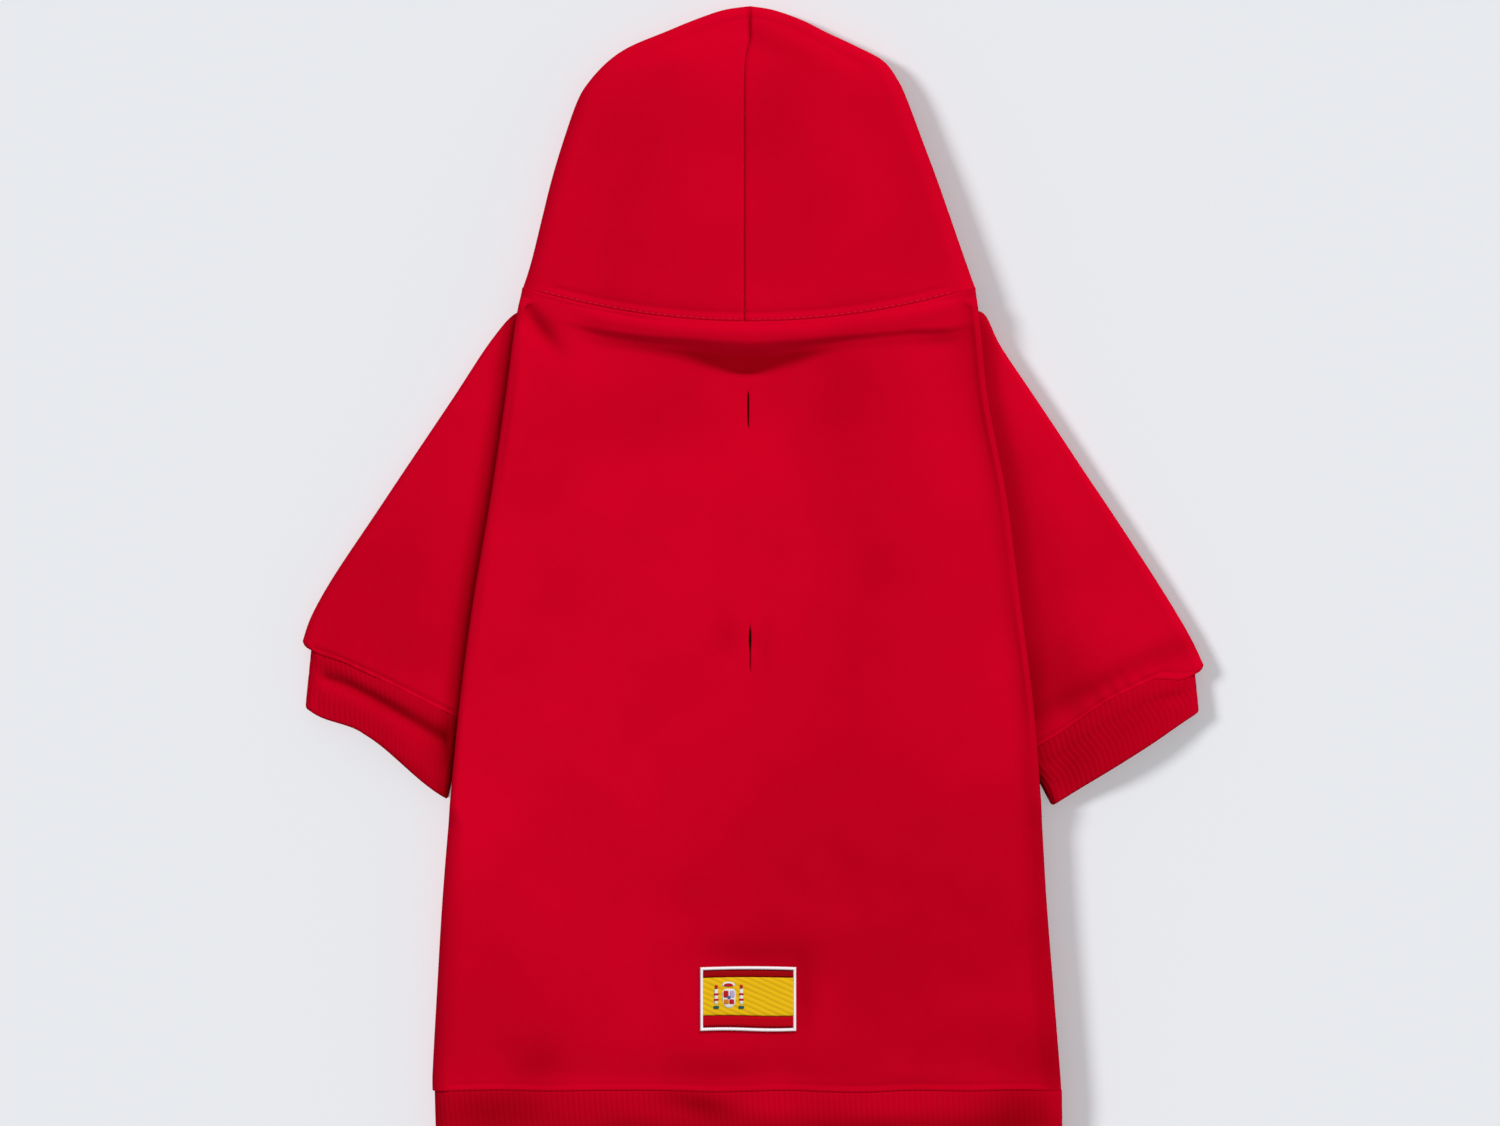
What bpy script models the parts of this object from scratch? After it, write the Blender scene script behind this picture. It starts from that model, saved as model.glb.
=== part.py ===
"""A dog hoodie laid flat, back up: two-part hood, wide back, narrow belly, short ribbed sleeves, ribbed hem.

+X runs to the right sleeve, +Y to the hood and +Z up. The garment lies on z = 0, with the middle of
its outline over the origin. Every grid below is the cloth's outer skin, and its thickness goes inwards.
"""

import math
from collections import namedtuple

import bmesh
import bpy
from mathutils import Matrix, Vector

MM = 0.001

# Cloth
FABRIC = 1.8 * MM
RIB_FABRIC = 2.2 * MM
SEAM_GAP = 0.3 * MM
RIB_PITCH = 2.7 * MM
RIB_RELIEF = 0.5 * MM

# Lengths along the garment
HOOD_LENGTH = 140 * MM
BODY_LENGTH = 401.5 * MM
HEM_DEPTH = 41.5 * MM
NECK_EDGE_Y = (BODY_LENGTH + HEM_DEPTH - HOOD_LENGTH) / 2
HEM_SEAM_Y = NECK_EDGE_Y - BODY_LENGTH

# Widths
HEM_HALF_WIDTH = 157.5 * MM
NECK_HALF_WIDTH = 113.5 * MM
FACE_OPENING_HALF_WIDTH = 56 * MM
FACE_OPENING_LENGTH = 133 * MM
FLAP_WIDTH = 24 * MM
FLAP_SHELF = 10.3 * MM
FLAP_LAP = 4 * MM
SEAM_LAP = 2 * MM

# Heights of the outer skin over the floor
EDGE_HEIGHT = 19 * MM
CROWN = 6 * MM
SLEEVE_HEIGHT = 11 * MM
SLEEVE_CROWN = 3.5 * MM
SLEEVE_CLEAR = 32 * MM

# Neckline
BACK_SCOOP = 17.5 * MM
FRONT_SCOOP = 26.5 * MM
SCOOP_REACH = 140 * MM
SCOOP_FADE = 4
HOOD_UNDER_SAG = 1.4 * MM

# Sleeves and cuffs
CUFF_WIDTH = 85 * MM
CUFF_DEPTH = 28 * MM
CUFF_HEIGHT = 10.6 * MM
SHOULDER_DROP = 3 * MM
OVERHANG_OUT = 4.2 * MM
OVERHANG_UP = 4.5 * MM
OUTER_SIDE_LEAN = 5.7
BOW_START = 0.2
BOW_END = 0.6

# Leash slits
SLIT_LENGTH = 21 * MM
SLIT_WIDTH = 1.5 * MM

# Embroidered patch
PATCH_WIDTH = 48 * MM
PATCH_HEIGHT = 31.8 * MM
PATCH_THICKNESS = 1.2 * MM
PATCH_BORDER = 1.8 * MM
CREST_HEIGHT = 15 * MM
CREST_WIDTH = 16 * MM
CREST_THICKNESS = 0.7 * MM

# Grid steps
FOLD_STEPS = 5
FLAP_STEPS = 3
BACK_STEPS = 12
HOOD_STEPS = 7
MARGIN_STEPS = 6
SLEEVE_STEPS = 8
UNDER_STEPS = 4
BELLY_STEPS = 10
PATCH_STEPS = 6

# Side folds of the body: shares of BODY_LENGTH below the neck edge and of HEM_HALF_WIDTH.
BodyRow = namedtuple("BodyRow", "along left right")
BODY = (
    BodyRow(0.000, 0.724, 0.717),
    BodyRow(0.047, 0.746, 0.730),
    BodyRow(0.141, 0.778, 0.756),
    BodyRow(0.265, 0.825, 0.816),
    BodyRow(0.390, 0.879, 0.857),
    BodyRow(0.514, 0.921, 0.898),
    BodyRow(0.639, 0.952, 0.924),
    BodyRow(0.763, 0.978, 0.943),
    BodyRow(0.888, 0.997, 0.968),
    BodyRow(0.981, 1.010, 0.987),
    BodyRow(1.000, 1.010, 0.990),
)

# What lies under the side folds. "room" is 1 where a sleeve or cuff lies under the fold and 0 where
# the fold reaches the floor. "armhole" is 1 where the flap's end stays up on the sleeve.
ZoneRow = namedtuple("ZoneRow", "along room armhole")
ZONES = (
    ZoneRow(0.000, 0, 0),
    ZoneRow(0.011, 0, 0),
    ZoneRow(0.0225, 1, 1),
    ZoneRow(0.480, 1, 1),
    ZoneRow(0.490, 1, 0),
    ZoneRow(0.645, 1, 0),
    ZoneRow(0.670, 0, 0),
    ZoneRow(1.000, 0, 0),
)
SHOULDER = ZONES[2].along
ARMPIT = ZONES[3].along

# Cross rows of the body's grid, as shares of BODY_LENGTH below the neck edge.
BODY_ROWS = (
    0.000, 0.011, 0.0225, 0.033, 0.045, 0.060, 0.082, 0.115, 0.170, 0.240, 0.320, 0.400,
    0.480, 0.490, 0.530, 0.585, 0.645, 0.670, 0.740, 0.830, 0.920, 1.000,
)

# Soft folds of the back. "across" and "wide" are shares of HEM_HALF_WIDTH, "down" and "deep" shares
# of BODY_LENGTH below the neck seam, and "rise" is a share of CROWN.
Fold = namedtuple("Fold", "across down wide deep rise")
FOLDS = (
    Fold(0.02, 0.015, 0.58, 0.012, 0.30),
    Fold(0.03, 0.033, 0.50, 0.014, -0.52),
    Fold(0.01, 0.058, 0.26, 0.020, -0.20),
    Fold(-0.63, 0.045, 0.06, 0.030, -0.22),
    Fold(0.00, 0.420, 0.10, 0.040, -0.08),
    Fold(0.25, 0.860, 0.22, 0.060, -0.16),
    Fold(-0.30, 0.955, 0.40, 0.030, 0.12),
)

# The hood from the neck seam to its peak. "up" is a share of HOOD_LENGTH above the neck edge, "left"
# and "right" are shares of NECK_HALF_WIDTH, "seam" is the centre seam's place across and "spine" its
# share of the way from the neck seam to the peak. "radius" and "crown" are shares of half the
# EDGE_HEIGHT and of CROWN. The face opening's rim is at "rim" and "face", shares of its own sizes.
HoodRow = namedtuple("HoodRow", "up left right seam spine radius crown rim face")
HOOD = (
    HoodRow(0.000, 1.004, 0.996, -0.026, 0.00, 1.00, 1.00, 0.00, 0.00),
    HoodRow(0.096, 0.965, 0.952, -0.026, 0.11, 1.00, 1.04, 0.62, 0.06),
    HoodRow(0.239, 0.921, 0.890, -0.026, 0.27, 0.99, 1.08, 0.92, 0.20),
    HoodRow(0.382, 0.877, 0.828, -0.026, 0.42, 0.97, 1.10, 1.00, 0.39),
    HoodRow(0.525, 0.824, 0.762, -0.026, 0.56, 0.94, 1.08, 0.95, 0.58),
    HoodRow(0.668, 0.762, 0.696, -0.026, 0.69, 0.89, 1.02, 0.81, 0.74),
    HoodRow(0.739, 0.709, 0.656, -0.025, 0.76, 0.85, 0.95, 0.68, 0.82),
    HoodRow(0.811, 0.626, 0.590, -0.022, 0.82, 0.80, 0.86, 0.52, 0.89),
    HoodRow(0.864, 0.529, 0.471, -0.014, 0.86, 0.75, 0.74, 0.37, 0.94),
    HoodRow(0.918, 0.370, 0.330, -0.006, 0.89, 0.70, 0.58, 0.23, 0.97),
    HoodRow(0.954, 0.251, 0.233, 0.000, 0.91, 0.66, 0.42, 0.13, 0.99),
    HoodRow(0.989, 0.124, 0.105, 0.003, 0.93, 0.64, 0.28, 0.06, 1.00),
    HoodRow(1.000, 0.000, 0.000, 0.004, 0.94, 0.63, 0.22, 0.00, 1.00),
)

# A sleeve from armhole to cuff. Its outer edge goes "out" and down ("drop") as shares of the way from
# the shoulder to the tip. Its inner edge lies "tuck" of FLAP_WIDTH inside the body's fold and has
# come "fall" of the way from the armpit to the cuff.
SleeveRow = namedtuple("SleeveRow", "left_out left_drop right_out right_drop tuck fall")
SLEEVE = (
    SleeveRow(-0.222, 0.052, -0.214, 0.052, 1.00, 0.00),
    SleeveRow(-0.110, 0.018, -0.107, 0.018, 0.70, 0.00),
    SleeveRow(0.000, 0.000, 0.018, 0.000, 0.42, 0.05),
    SleeveRow(0.125, 0.087, 0.104, 0.100, 0.27, 0.25),
    SleeveRow(0.306, 0.266, 0.281, 0.268, 0.20, 0.46),
    SleeveRow(0.490, 0.445, 0.455, 0.436, 0.17, 0.62),
    SleeveRow(0.676, 0.627, 0.630, 0.603, 0.15, 0.75),
    SleeveRow(0.856, 0.803, 0.801, 0.771, 0.14, 0.86),
    SleeveRow(0.958, 0.922, 0.933, 0.911, 0.14, 0.94),
    SleeveRow(1.000, 1.000, 1.000, 1.000, 0.14, 1.00),
)

# How each cuff lies: its seam's inner end below the armpit and inside the body's fold, as shares of
# CUFF_WIDTH and FLAP_WIDTH, its outer side as a share of CUFF_DEPTH, and for its seam and its mouth
# the slope in degrees, the length as a share of CUFF_WIDTH and how far it is bowed towards the
# shoulder as a share of CUFF_DEPTH.
Arm = namedtuple(
    "Arm", "name sign below inside outer_side seam_slope seam seam_bow mouth_slope mouth mouth_bow"
)
ARMS = (
    Arm("left", -1, 0.286, 0.14, 1.037, 24.6, 1.000, 0.05, 32.8, 1.00, 0.165),
    Arm("right", 1, 0.475, 0.28, 0.680, 24.6, 1.115, 0.23, 32.6, 1.03, 0.040),
)

# Height of a cuff along its depth below its seam's lap, as a share of CUFF_HEIGHT: the dip is its
# soft cross fold.
CuffRow = namedtuple("CuffRow", "depth height")
CUFF = (
    CuffRow(0.00, 1.00),
    CuffRow(0.32, 0.93),
    CuffRow(1.00, 0.98),
)

# Half widths of the hem band as shares of HEM_HALF_WIDTH, and its height as a share of EDGE_HEIGHT.
HemRow = namedtuple("HemRow", "depth left right height")
HEM = (
    HemRow(0.00, 1.003, 0.992, 1.00),
    HemRow(1.00, 0.996, 0.996, 0.84),
)

# The slits' and the patch's places on the back, as shares of HEM_HALF_WIDTH and BODY_LENGTH.
Place = namedtuple("Place", "across along")
SLITS = (Place(-0.006, 0.136), Place(0.000, 0.449))
PATCH = Place(-0.006, 0.885)

# Stripes of the patch, from the top: shares of the height inside its border.
Stripe = namedtuple("Stripe", "name share colour")
STRIPES = (
    Stripe("top", 0.12, (0.16, 0.004, 0.012)),
    Stripe("middle", 0.69, (0.72, 0.42, 0.01)),
    Stripe("bottom", 0.19, (0.50, 0.006, 0.02)),
)
CREST_ACROSS = -0.204

RED = (0.578, 0.0, 0.016)
RIB_RED = (0.42, 0.0, 0.015)
WHITE = (0.80, 0.80, 0.82)
CREST_RED = (0.45, 0.05, 0.03)


def start_scene():
    """An empty scene with a collection for the garment and one for its cutters."""
    for thing in list(bpy.data.objects):
        bpy.data.objects.remove(thing, do_unlink=True)
    collections = []
    for name in ("dog_hoodie", "cutters"):
        made = bpy.data.collections.new(name)
        bpy.context.scene.collection.children.link(made)
        collections.append(made)
    return collections


def cloth_material(name, colour, roughness=0.9):
    material = bpy.data.materials.new(name)
    material.use_nodes = True
    shader = material.node_tree.nodes["Principled BSDF"]
    shader.inputs["Base Color"].default_value = (*colour, 1)
    shader.inputs["Roughness"].default_value = roughness
    shader.inputs["Metallic"].default_value = 0
    return material


def mix(low, high, share):
    return low + (high - low) * share


def ease(share):
    """0 up to 0, 1 from 1 on, and a smooth step between."""
    share = min(max(share, 0.0), 1.0)
    return share * share * (3 - 2 * share)


def read_straight(rows, key, column, at):
    """The table's column at one value of its key, in straight runs between its rows."""
    for low, high in zip(rows, rows[1:]):
        start, end = getattr(low, key), getattr(high, key)
        if at <= end:
            return mix(getattr(low, column), getattr(high, column), (at - start) / (end - start))
    return getattr(rows[-1], column)


def read_smooth(rows, key, column, at):
    """The table's column at one value of its key, on a smooth curve through its rows."""
    keys = [getattr(row, key) for row in rows]
    values = [getattr(row, column) for row in rows]
    last = len(rows) - 1

    def slope(i):
        low, high = max(i - 1, 0), min(i + 1, last)
        return (values[high] - values[low]) / (keys[high] - keys[low])

    i = 0
    while i < last - 1 and at > keys[i + 1]:
        i += 1
    width = keys[i + 1] - keys[i]
    t = (at - keys[i]) / width
    start = values[i] * (1 + 2 * t) * (1 - t) ** 2 + slope(i) * width * t * (1 - t) ** 2
    end = values[i + 1] * t * t * (3 - 2 * t) + slope(i + 1) * width * t * t * (t - 1)
    return start + end


def body_half_width(along, sign):
    return HEM_HALF_WIDTH * read_smooth(BODY, "along", "left" if sign < 0 else "right", along)


def body_edge_at(y, sign):
    """Distance of the body's side fold from the middle, at a place along the garment."""
    return body_half_width((NECK_EDGE_Y - y) / BODY_LENGTH, sign)


def row_y(along, x, scoop):
    """Where a cross row of the body lies at x: it sags towards the hem by the neckline's scoop."""
    sign = -1 if x < 0 else 1
    left = max(1 - along * BODY_LENGTH / SCOOP_REACH, 0) ** 2
    sag = scoop * left * (1 - (x / body_half_width(along, sign)) ** 2)
    return NECK_EDGE_Y - along * BODY_LENGTH - sag


def crown_at(share):
    """The rounded cross-section of a laid panel: 1 in the middle and 0 where the side fold starts."""
    return 1 - min(abs(share), 1) ** 2.5


def back_height(along, x):
    """Height of the back's outer skin, with its soft folds."""
    sign = -1 if x < 0 else 1
    height = EDGE_HEIGHT + CROWN * crown_at(x / (body_half_width(along, sign) - EDGE_HEIGHT / 2))
    fade_in = ease(along * BODY_LENGTH / (4 * MM)) * ease((1 - along) * BODY_LENGTH / (8 * MM))
    for fold in FOLDS:
        across = (x / HEM_HALF_WIDTH - fold.across) / fold.wide
        down = (along - fold.down) / fold.deep
        height += CROWN * fold.rise * fade_in * math.exp(-across * across - down * down)
    return height


def skin(name, grid, thickness, material, collection, closed=False, flip=False):
    """A named sheet of cloth: a grid of outer-skin points, given its thickness inwards."""
    count = len(grid[0])
    points = [point for row in grid for point in row]
    faces = []
    for r in range(len(grid) - 1):
        for c in range(count if closed else count - 1):
            after = (c + 1) % count
            corners = (r * count + c, (r + 1) * count + c, (r + 1) * count + after, r * count + after)
            faces.append(corners[::-1] if flip else corners)
    mesh = bpy.data.meshes.new(name)
    mesh.from_pydata(points, [], faces)
    mesh.shade_smooth()
    made = bpy.data.objects.new(name, mesh)
    collection.objects.link(made)
    mesh.materials.append(material)
    solidify = made.modifiers.new("cloth", "SOLIDIFY")
    solidify.thickness = thickness
    solidify.offset = -1
    solidify.use_even_offset = True
    return made


def fold_angles():
    """From straight up to straight down round the outside of a fold, without its two ends."""
    return [math.pi * (0.5 - step / FOLD_STEPS) for step in range(1, FOLD_STEPS)]


def side_fold(along, sign):
    """The back panel's points round its side fold and along the flap beneath, outwards from the top."""
    room = read_straight(ZONES, "along", "room", along)
    armhole = read_straight(ZONES, "along", "armhole", along)
    under = room * (SLEEVE_HEIGHT + SEAM_GAP)
    radius = (EDGE_HEIGHT - under) / 2
    edge = body_half_width(along, sign)
    points = []
    for angle in fold_angles():
        x = sign * (edge - radius + radius * math.cos(angle))
        scoop = mix(FRONT_SCOOP, BACK_SCOOP, (1 + math.sin(angle)) / 2)
        points.append((x, row_y(along, x, scoop), under + radius * (1 + math.sin(angle))))
    foot = FLAP_WIDTH - FLAP_LAP
    slope = [mix(FLAP_SHELF, foot, step / FLAP_STEPS) for step in range(FLAP_STEPS + 1)]
    for inward in (radius, *slope, FLAP_WIDTH):
        down = ease((inward - FLAP_SHELF) / (foot - FLAP_SHELF))
        x = sign * (edge - inward)
        points.append((x, row_y(along, x, FRONT_SCOOP), mix(under, under * armhole, down)))
    return points


def back_row(along):
    """One cross row of the back panel, from the left flap's end over the top to the right flap's end."""
    reach = {}
    for sign in (-1, 1):
        room = read_straight(ZONES, "along", "room", along)
        radius = (EDGE_HEIGHT - room * (SLEEVE_HEIGHT + SEAM_GAP)) / 2
        reach[sign] = body_half_width(along, sign) - radius
    top = []
    for step in range(BACK_STEPS + 1):
        share = 2 * step / BACK_STEPS - 1
        x = share * reach[-1 if share < 0 else 1]
        top.append((x, row_y(along, x, BACK_SCOOP), back_height(along, x)))
    return side_fold(along, -1)[::-1] + top + side_fold(along, 1)


def moved(row, along_y):
    return [(x, y + along_y, z) for x, y, z in row]


def seam_rows(row, way):
    """A seam's edge, half its gap away, and the straight lap behind it. "way" is +1 or -1 along Y."""
    return [moved(row, way * SEAM_GAP / 2), moved(row, way * SEAM_LAP)]


def seamed(grid):
    """A grid with the neck seam at its first row and the hem seam at its last."""
    return seam_rows(grid[0], -1) + grid[1:-1] + seam_rows(grid[-1], 1)[::-1]


def make_back(material, collection, cutters):
    grid = [back_row(along) for along in BODY_ROWS]
    back = skin("back_panel", seamed(grid), FABRIC, material, collection)
    for number, place in enumerate(SLITS):
        mesh = bpy.data.meshes.new(f"slit_cutter_{number}")
        shape = bmesh.new()
        bmesh.ops.create_cone(
            shape, cap_ends=True, segments=16, radius1=0.5, radius2=0.5, depth=1,
            matrix=Matrix.Diagonal((SLIT_WIDTH, SLIT_LENGTH, EDGE_HEIGHT, 1)),
        )
        shape.to_mesh(mesh)
        shape.free()
        cutter = bpy.data.objects.new(mesh.name, mesh)
        x = place.across * HEM_HALF_WIDTH
        cutter.location = (x, row_y(place.along, x, BACK_SCOOP), EDGE_HEIGHT + CROWN)
        cutter.hide_render = True
        cutter.display_type = "WIRE"
        cutters.objects.link(cutter)
        cut = back.modifiers.new(f"slit {number}", "BOOLEAN")
        cut.object = cutter
        cut.solver = "EXACT"
    return back


def make_belly(material, collection):
    """The narrow under panel, flat on the floor between the flaps and the sleeves."""
    grid = []
    for along in BODY_ROWS:
        left = -(body_half_width(along, -1) - FLAP_WIDTH - SEAM_GAP)
        right = body_half_width(along, 1) - FLAP_WIDTH - SEAM_GAP
        row = []
        for step in range(BELLY_STEPS + 1):
            x = mix(left, right, step / BELLY_STEPS)
            row.append((x, row_y(along, x, FRONT_SCOOP), 0))
        grid.append(row)
    return skin("belly_panel", seamed(grid), FABRIC, material, collection, flip=True)


def hood_outline(row, sign):
    share = row.left if sign < 0 else row.right
    return Vector((sign * share * NECK_HALF_WIDTH, NECK_EDGE_Y + row.up * HOOD_LENGTH))


def outward(number, sign):
    """The plan direction that points out of the hood at one row of its outline."""
    if number == 0:
        return Vector((sign, 0))
    if number == len(HOOD) - 1:
        return Vector((0, 1))
    run = hood_outline(HOOD[number + 1], sign) - hood_outline(HOOD[number - 1], sign)
    return Vector((sign * run.y, -sign * run.x)).normalized()


def hood_row(number, sign):
    """One row of a hood half: from the centre seam to the outline, round the fold, to the face rim."""
    row = HOOD[number]
    radius = row.radius * EDGE_HEIGHT / 2
    neck_y = NECK_EDGE_Y - BACK_SCOOP
    seam_x = row.seam * NECK_HALF_WIDTH + sign * SEAM_GAP / 2
    start = Vector((seam_x, mix(neck_y, NECK_EDGE_Y + HOOD_LENGTH, row.spine)))
    edge = hood_outline(row, sign)
    if number == len(HOOD) - 1:
        edge.x = seam_x
    out = outward(number, sign)
    fold = edge - out * radius
    fade = (1 - row.up) ** SCOOP_FADE
    points = []
    for step in range(HOOD_STEPS):
        share = step / HOOD_STEPS
        place = start.lerp(fold, share)
        place.y -= fade * BACK_SCOOP * share * (1 - share)
        points.append((*place, 2 * radius + CROWN * row.crown * crown_at(share)))
        if step == 0:
            points.append((place.x + sign * SEAM_LAP, place.y, points[0][2]))
    points.append((*fold, 2 * radius))
    for angle in fold_angles():
        place = fold + out * radius * math.cos(angle)
        place.y -= fade * HOOD_UNDER_SAG * (1 - math.sin(angle)) / 2
        points.append((*place, radius * (1 + math.sin(angle))))
    throat = NECK_EDGE_Y - FRONT_SCOOP
    rim = Vector((
        sign * (row.rim * FACE_OPENING_HALF_WIDTH + SEAM_GAP / 2),
        throat + row.face * FACE_OPENING_LENGTH,
    ))
    if number == len(HOOD) - 1:
        rim.x = seam_x
    for step in range(MARGIN_STEPS + 1):
        place = fold.lerp(rim, step / MARGIN_STEPS)
        if number == 0:
            place.y = row_y(0, place.x, FRONT_SCOOP)
        points.append((*place, 0))
    return points


def neck_row(row):
    """The hood's lowest row laid exactly along the body's neck edge."""
    top_end = HOOD_STEPS + 1 + FOLD_STEPS
    laid = []
    for number, (x, y, z) in enumerate(row):
        if number <= HOOD_STEPS + 1:
            scoop = BACK_SCOOP
        elif number < top_end:
            scoop = mix(FRONT_SCOOP, BACK_SCOOP, z / EDGE_HEIGHT)
        else:
            scoop = FRONT_SCOOP
        laid.append((x, row_y(0, x, scoop), z))
    return laid


def make_hood_half(arm, material, collection):
    grid = [hood_row(number, arm.sign) for number in range(len(HOOD))]
    peak = grid[-1]
    grid = seam_rows(neck_row(grid[0]), 1) + grid[1:-1]
    grid.append([(x + arm.sign * SEAM_LAP, y, z) for x, y, z in peak])
    grid.append([peak[0]] + [(peak[0][0], y, z) for _, y, z in peak[1:]])
    return skin(f"hood_{arm.name}", grid, FABRIC, material, collection, flip=arm.sign > 0)


def heading(length, slope, sign):
    """A run in plan, outwards on the arm's own side and up at a slope in degrees."""
    angle = math.radians(slope)
    return Vector((sign * length * math.cos(angle), length * math.sin(angle)))


def arm_places(arm):
    """Shoulder, tip and the four corners of the cuff, in plan."""
    shoulder_y = NECK_EDGE_Y - SHOULDER * BODY_LENGTH - SHOULDER_DROP
    shoulder = Vector((arm.sign * body_edge_at(shoulder_y, arm.sign), shoulder_y))
    armpit_y = NECK_EDGE_Y - ARMPIT * BODY_LENGTH
    seam_in_y = armpit_y - arm.below * CUFF_WIDTH
    seam_in_x = arm.sign * (body_edge_at(seam_in_y, arm.sign) - arm.inside * FLAP_WIDTH)
    seam_in = Vector((seam_in_x, seam_in_y))
    seam_out = seam_in + heading(arm.seam * CUFF_WIDTH, arm.seam_slope, arm.sign)
    tip = seam_out + Vector((arm.sign * OVERHANG_OUT, OVERHANG_UP))
    mouth_out = seam_out + heading(arm.outer_side * CUFF_DEPTH, OUTER_SIDE_LEAN - 90, arm.sign)
    mouth_in = mouth_out - heading(arm.mouth * CUFF_WIDTH, arm.mouth_slope, arm.sign)
    return shoulder, armpit_y, tip, seam_out, seam_in, mouth_out, mouth_in


def ring(outer, inner, height, rise, top_shares):
    """A flattened tube's cross-section, closed: outer fold, top, inner fold, floor side."""
    radius = height / 2
    along = (inner - outer).normalized()
    low, high = outer + along * radius, inner - along * radius
    points = []
    for angle in fold_angles()[::-1]:
        place = low - along * radius * math.cos(angle)
        points.append((*place, radius * (1 + math.sin(angle))))
    for share in top_shares:
        place = low.lerp(high, share)
        points.append((*place, height + rise(place, share)))
    for angle in fold_angles():
        place = high + along * radius * math.cos(angle)
        points.append((*place, radius * (1 + math.sin(angle))))
    for step in range(UNDER_STEPS + 1):
        points.append((*high.lerp(low, step / UNDER_STEPS), 0))
    return points


def bow_at(share):
    """The bow's share of its full size, straight between the sleeve's columns."""
    column = min(max(share, 0.0), 1.0) * SLEEVE_STEPS
    low = min(int(column), SLEEVE_STEPS - 1)
    sizes = [
        ease(place / SLEEVE_STEPS / BOW_START) * ease((1 - place / SLEEVE_STEPS) / BOW_END)
        for place in (low, low + 1)
    ]
    return mix(*sizes, column - low)


def bowed(points, outer, inner, bow, sign):
    """A ring's points moved up towards the shoulder, most between its outer end and its middle."""
    line = inner - outer
    flat = line.length - CUFF_HEIGHT
    up = sign * bow * Vector((line.y, -line.x)).normalized()
    laid = []
    for x, y, z in points:
        run = (Vector((x, y)) - outer).dot(line.normalized()) - CUFF_HEIGHT / 2
        shift = up * bow_at(run / flat)
        laid.append((x + shift.x, y + shift.y, z))
    return laid


def sleeve_rise(arm):
    """How far a sleeve's top stands above its edges: nothing under the body, then a soft crown."""
    def rise(place, share):
        clear = abs(place.x) - body_edge_at(place.y, arm.sign)
        return SLEEVE_CROWN * ease(clear / SLEEVE_CLEAR) * crown_at(2 * share - 1)
    return rise


def make_sleeve(arm, material, collection):
    shoulder, armpit_y, tip, seam_out, seam_in, _, _ = arm_places(arm)
    shares = [step / SLEEVE_STEPS for step in range(SLEEVE_STEPS + 1)]
    rise = sleeve_rise(arm)
    grid = []
    for row in SLEEVE:
        out = row.left_out if arm.sign < 0 else row.right_out
        drop = row.left_drop if arm.sign < 0 else row.right_drop
        outer = Vector((mix(shoulder.x, tip.x, out), mix(shoulder.y, tip.y, drop)))
        inner_y = mix(armpit_y, seam_in.y + OVERHANG_UP, row.fall)
        tuck = mix(row.tuck, arm.inside, row.fall ** 4)
        inner_x = arm.sign * (body_edge_at(inner_y, arm.sign) - tuck * FLAP_WIDTH)
        inner = Vector((inner_x, inner_y))
        bow = arm.seam_bow * CUFF_DEPTH * ease((row.fall - 0.5) / 0.5)
        grid.append(bowed(ring(outer, inner, SLEEVE_HEIGHT, rise, shares), outer, inner, bow, arm.sign))
    grid[0] = [(arm.sign * (body_edge_at(y, arm.sign) - FLAP_WIDTH), y, z) for _, y, z in grid[0]]
    for away in (SEAM_LAP, 0):
        start = heading(away, arm.seam_slope + 90, arm.sign)
        outer, inner = seam_out + start, seam_in + start
        bow = arm.seam_bow * CUFF_DEPTH
        grid.append(bowed(ring(outer, inner, CUFF_HEIGHT, rise, shares), outer, inner, bow, arm.sign))
    return skin(f"sleeve_{arm.name}", grid, FABRIC, material, collection, closed=True, flip=arm.sign > 0)


def rib_shares(width):
    """Two places for each rib, its crest and its furrow, over one side of a flattened band."""
    ribs = round(width / RIB_PITCH)
    return [step / (2 * ribs) for step in range(2 * ribs + 1)]


def ribbed(rise, shares):
    """The rise with every second place lowered by the ribs' relief."""
    furrows = set(shares[::2])

    def with_ribs(place, share):
        return rise(place, share) - (RIB_RELIEF if share in furrows else 0)
    return with_ribs


def make_cuff(arm, material, collection):
    _, _, _, seam_out, seam_in, mouth_out, mouth_in = arm_places(arm)
    shares = rib_shares(CUFF_WIDTH)
    rise = ribbed(sleeve_rise(arm), shares)
    gap, lap = [heading(length, arm.seam_slope - 90, arm.sign) for length in (SEAM_GAP, SEAM_LAP)]
    points = ring(seam_out + gap, seam_in + gap, CUFF_HEIGHT, rise, shares)
    grid = [bowed(points, seam_out + gap, seam_in + gap, arm.seam_bow * CUFF_DEPTH, arm.sign)]
    for row in CUFF:
        outer = (seam_out + lap).lerp(mouth_out, row.depth)
        inner = (seam_in + lap).lerp(mouth_in, row.depth)
        points = ring(outer, inner, CUFF_HEIGHT * row.height, rise, shares)
        bow = mix(arm.seam_bow, arm.mouth_bow, row.depth) * CUFF_DEPTH
        grid.append(bowed(points, outer, inner, bow, arm.sign))
    return skin(f"cuff_{arm.name}", grid, RIB_FABRIC, material, collection, closed=True, flip=arm.sign > 0)


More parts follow.
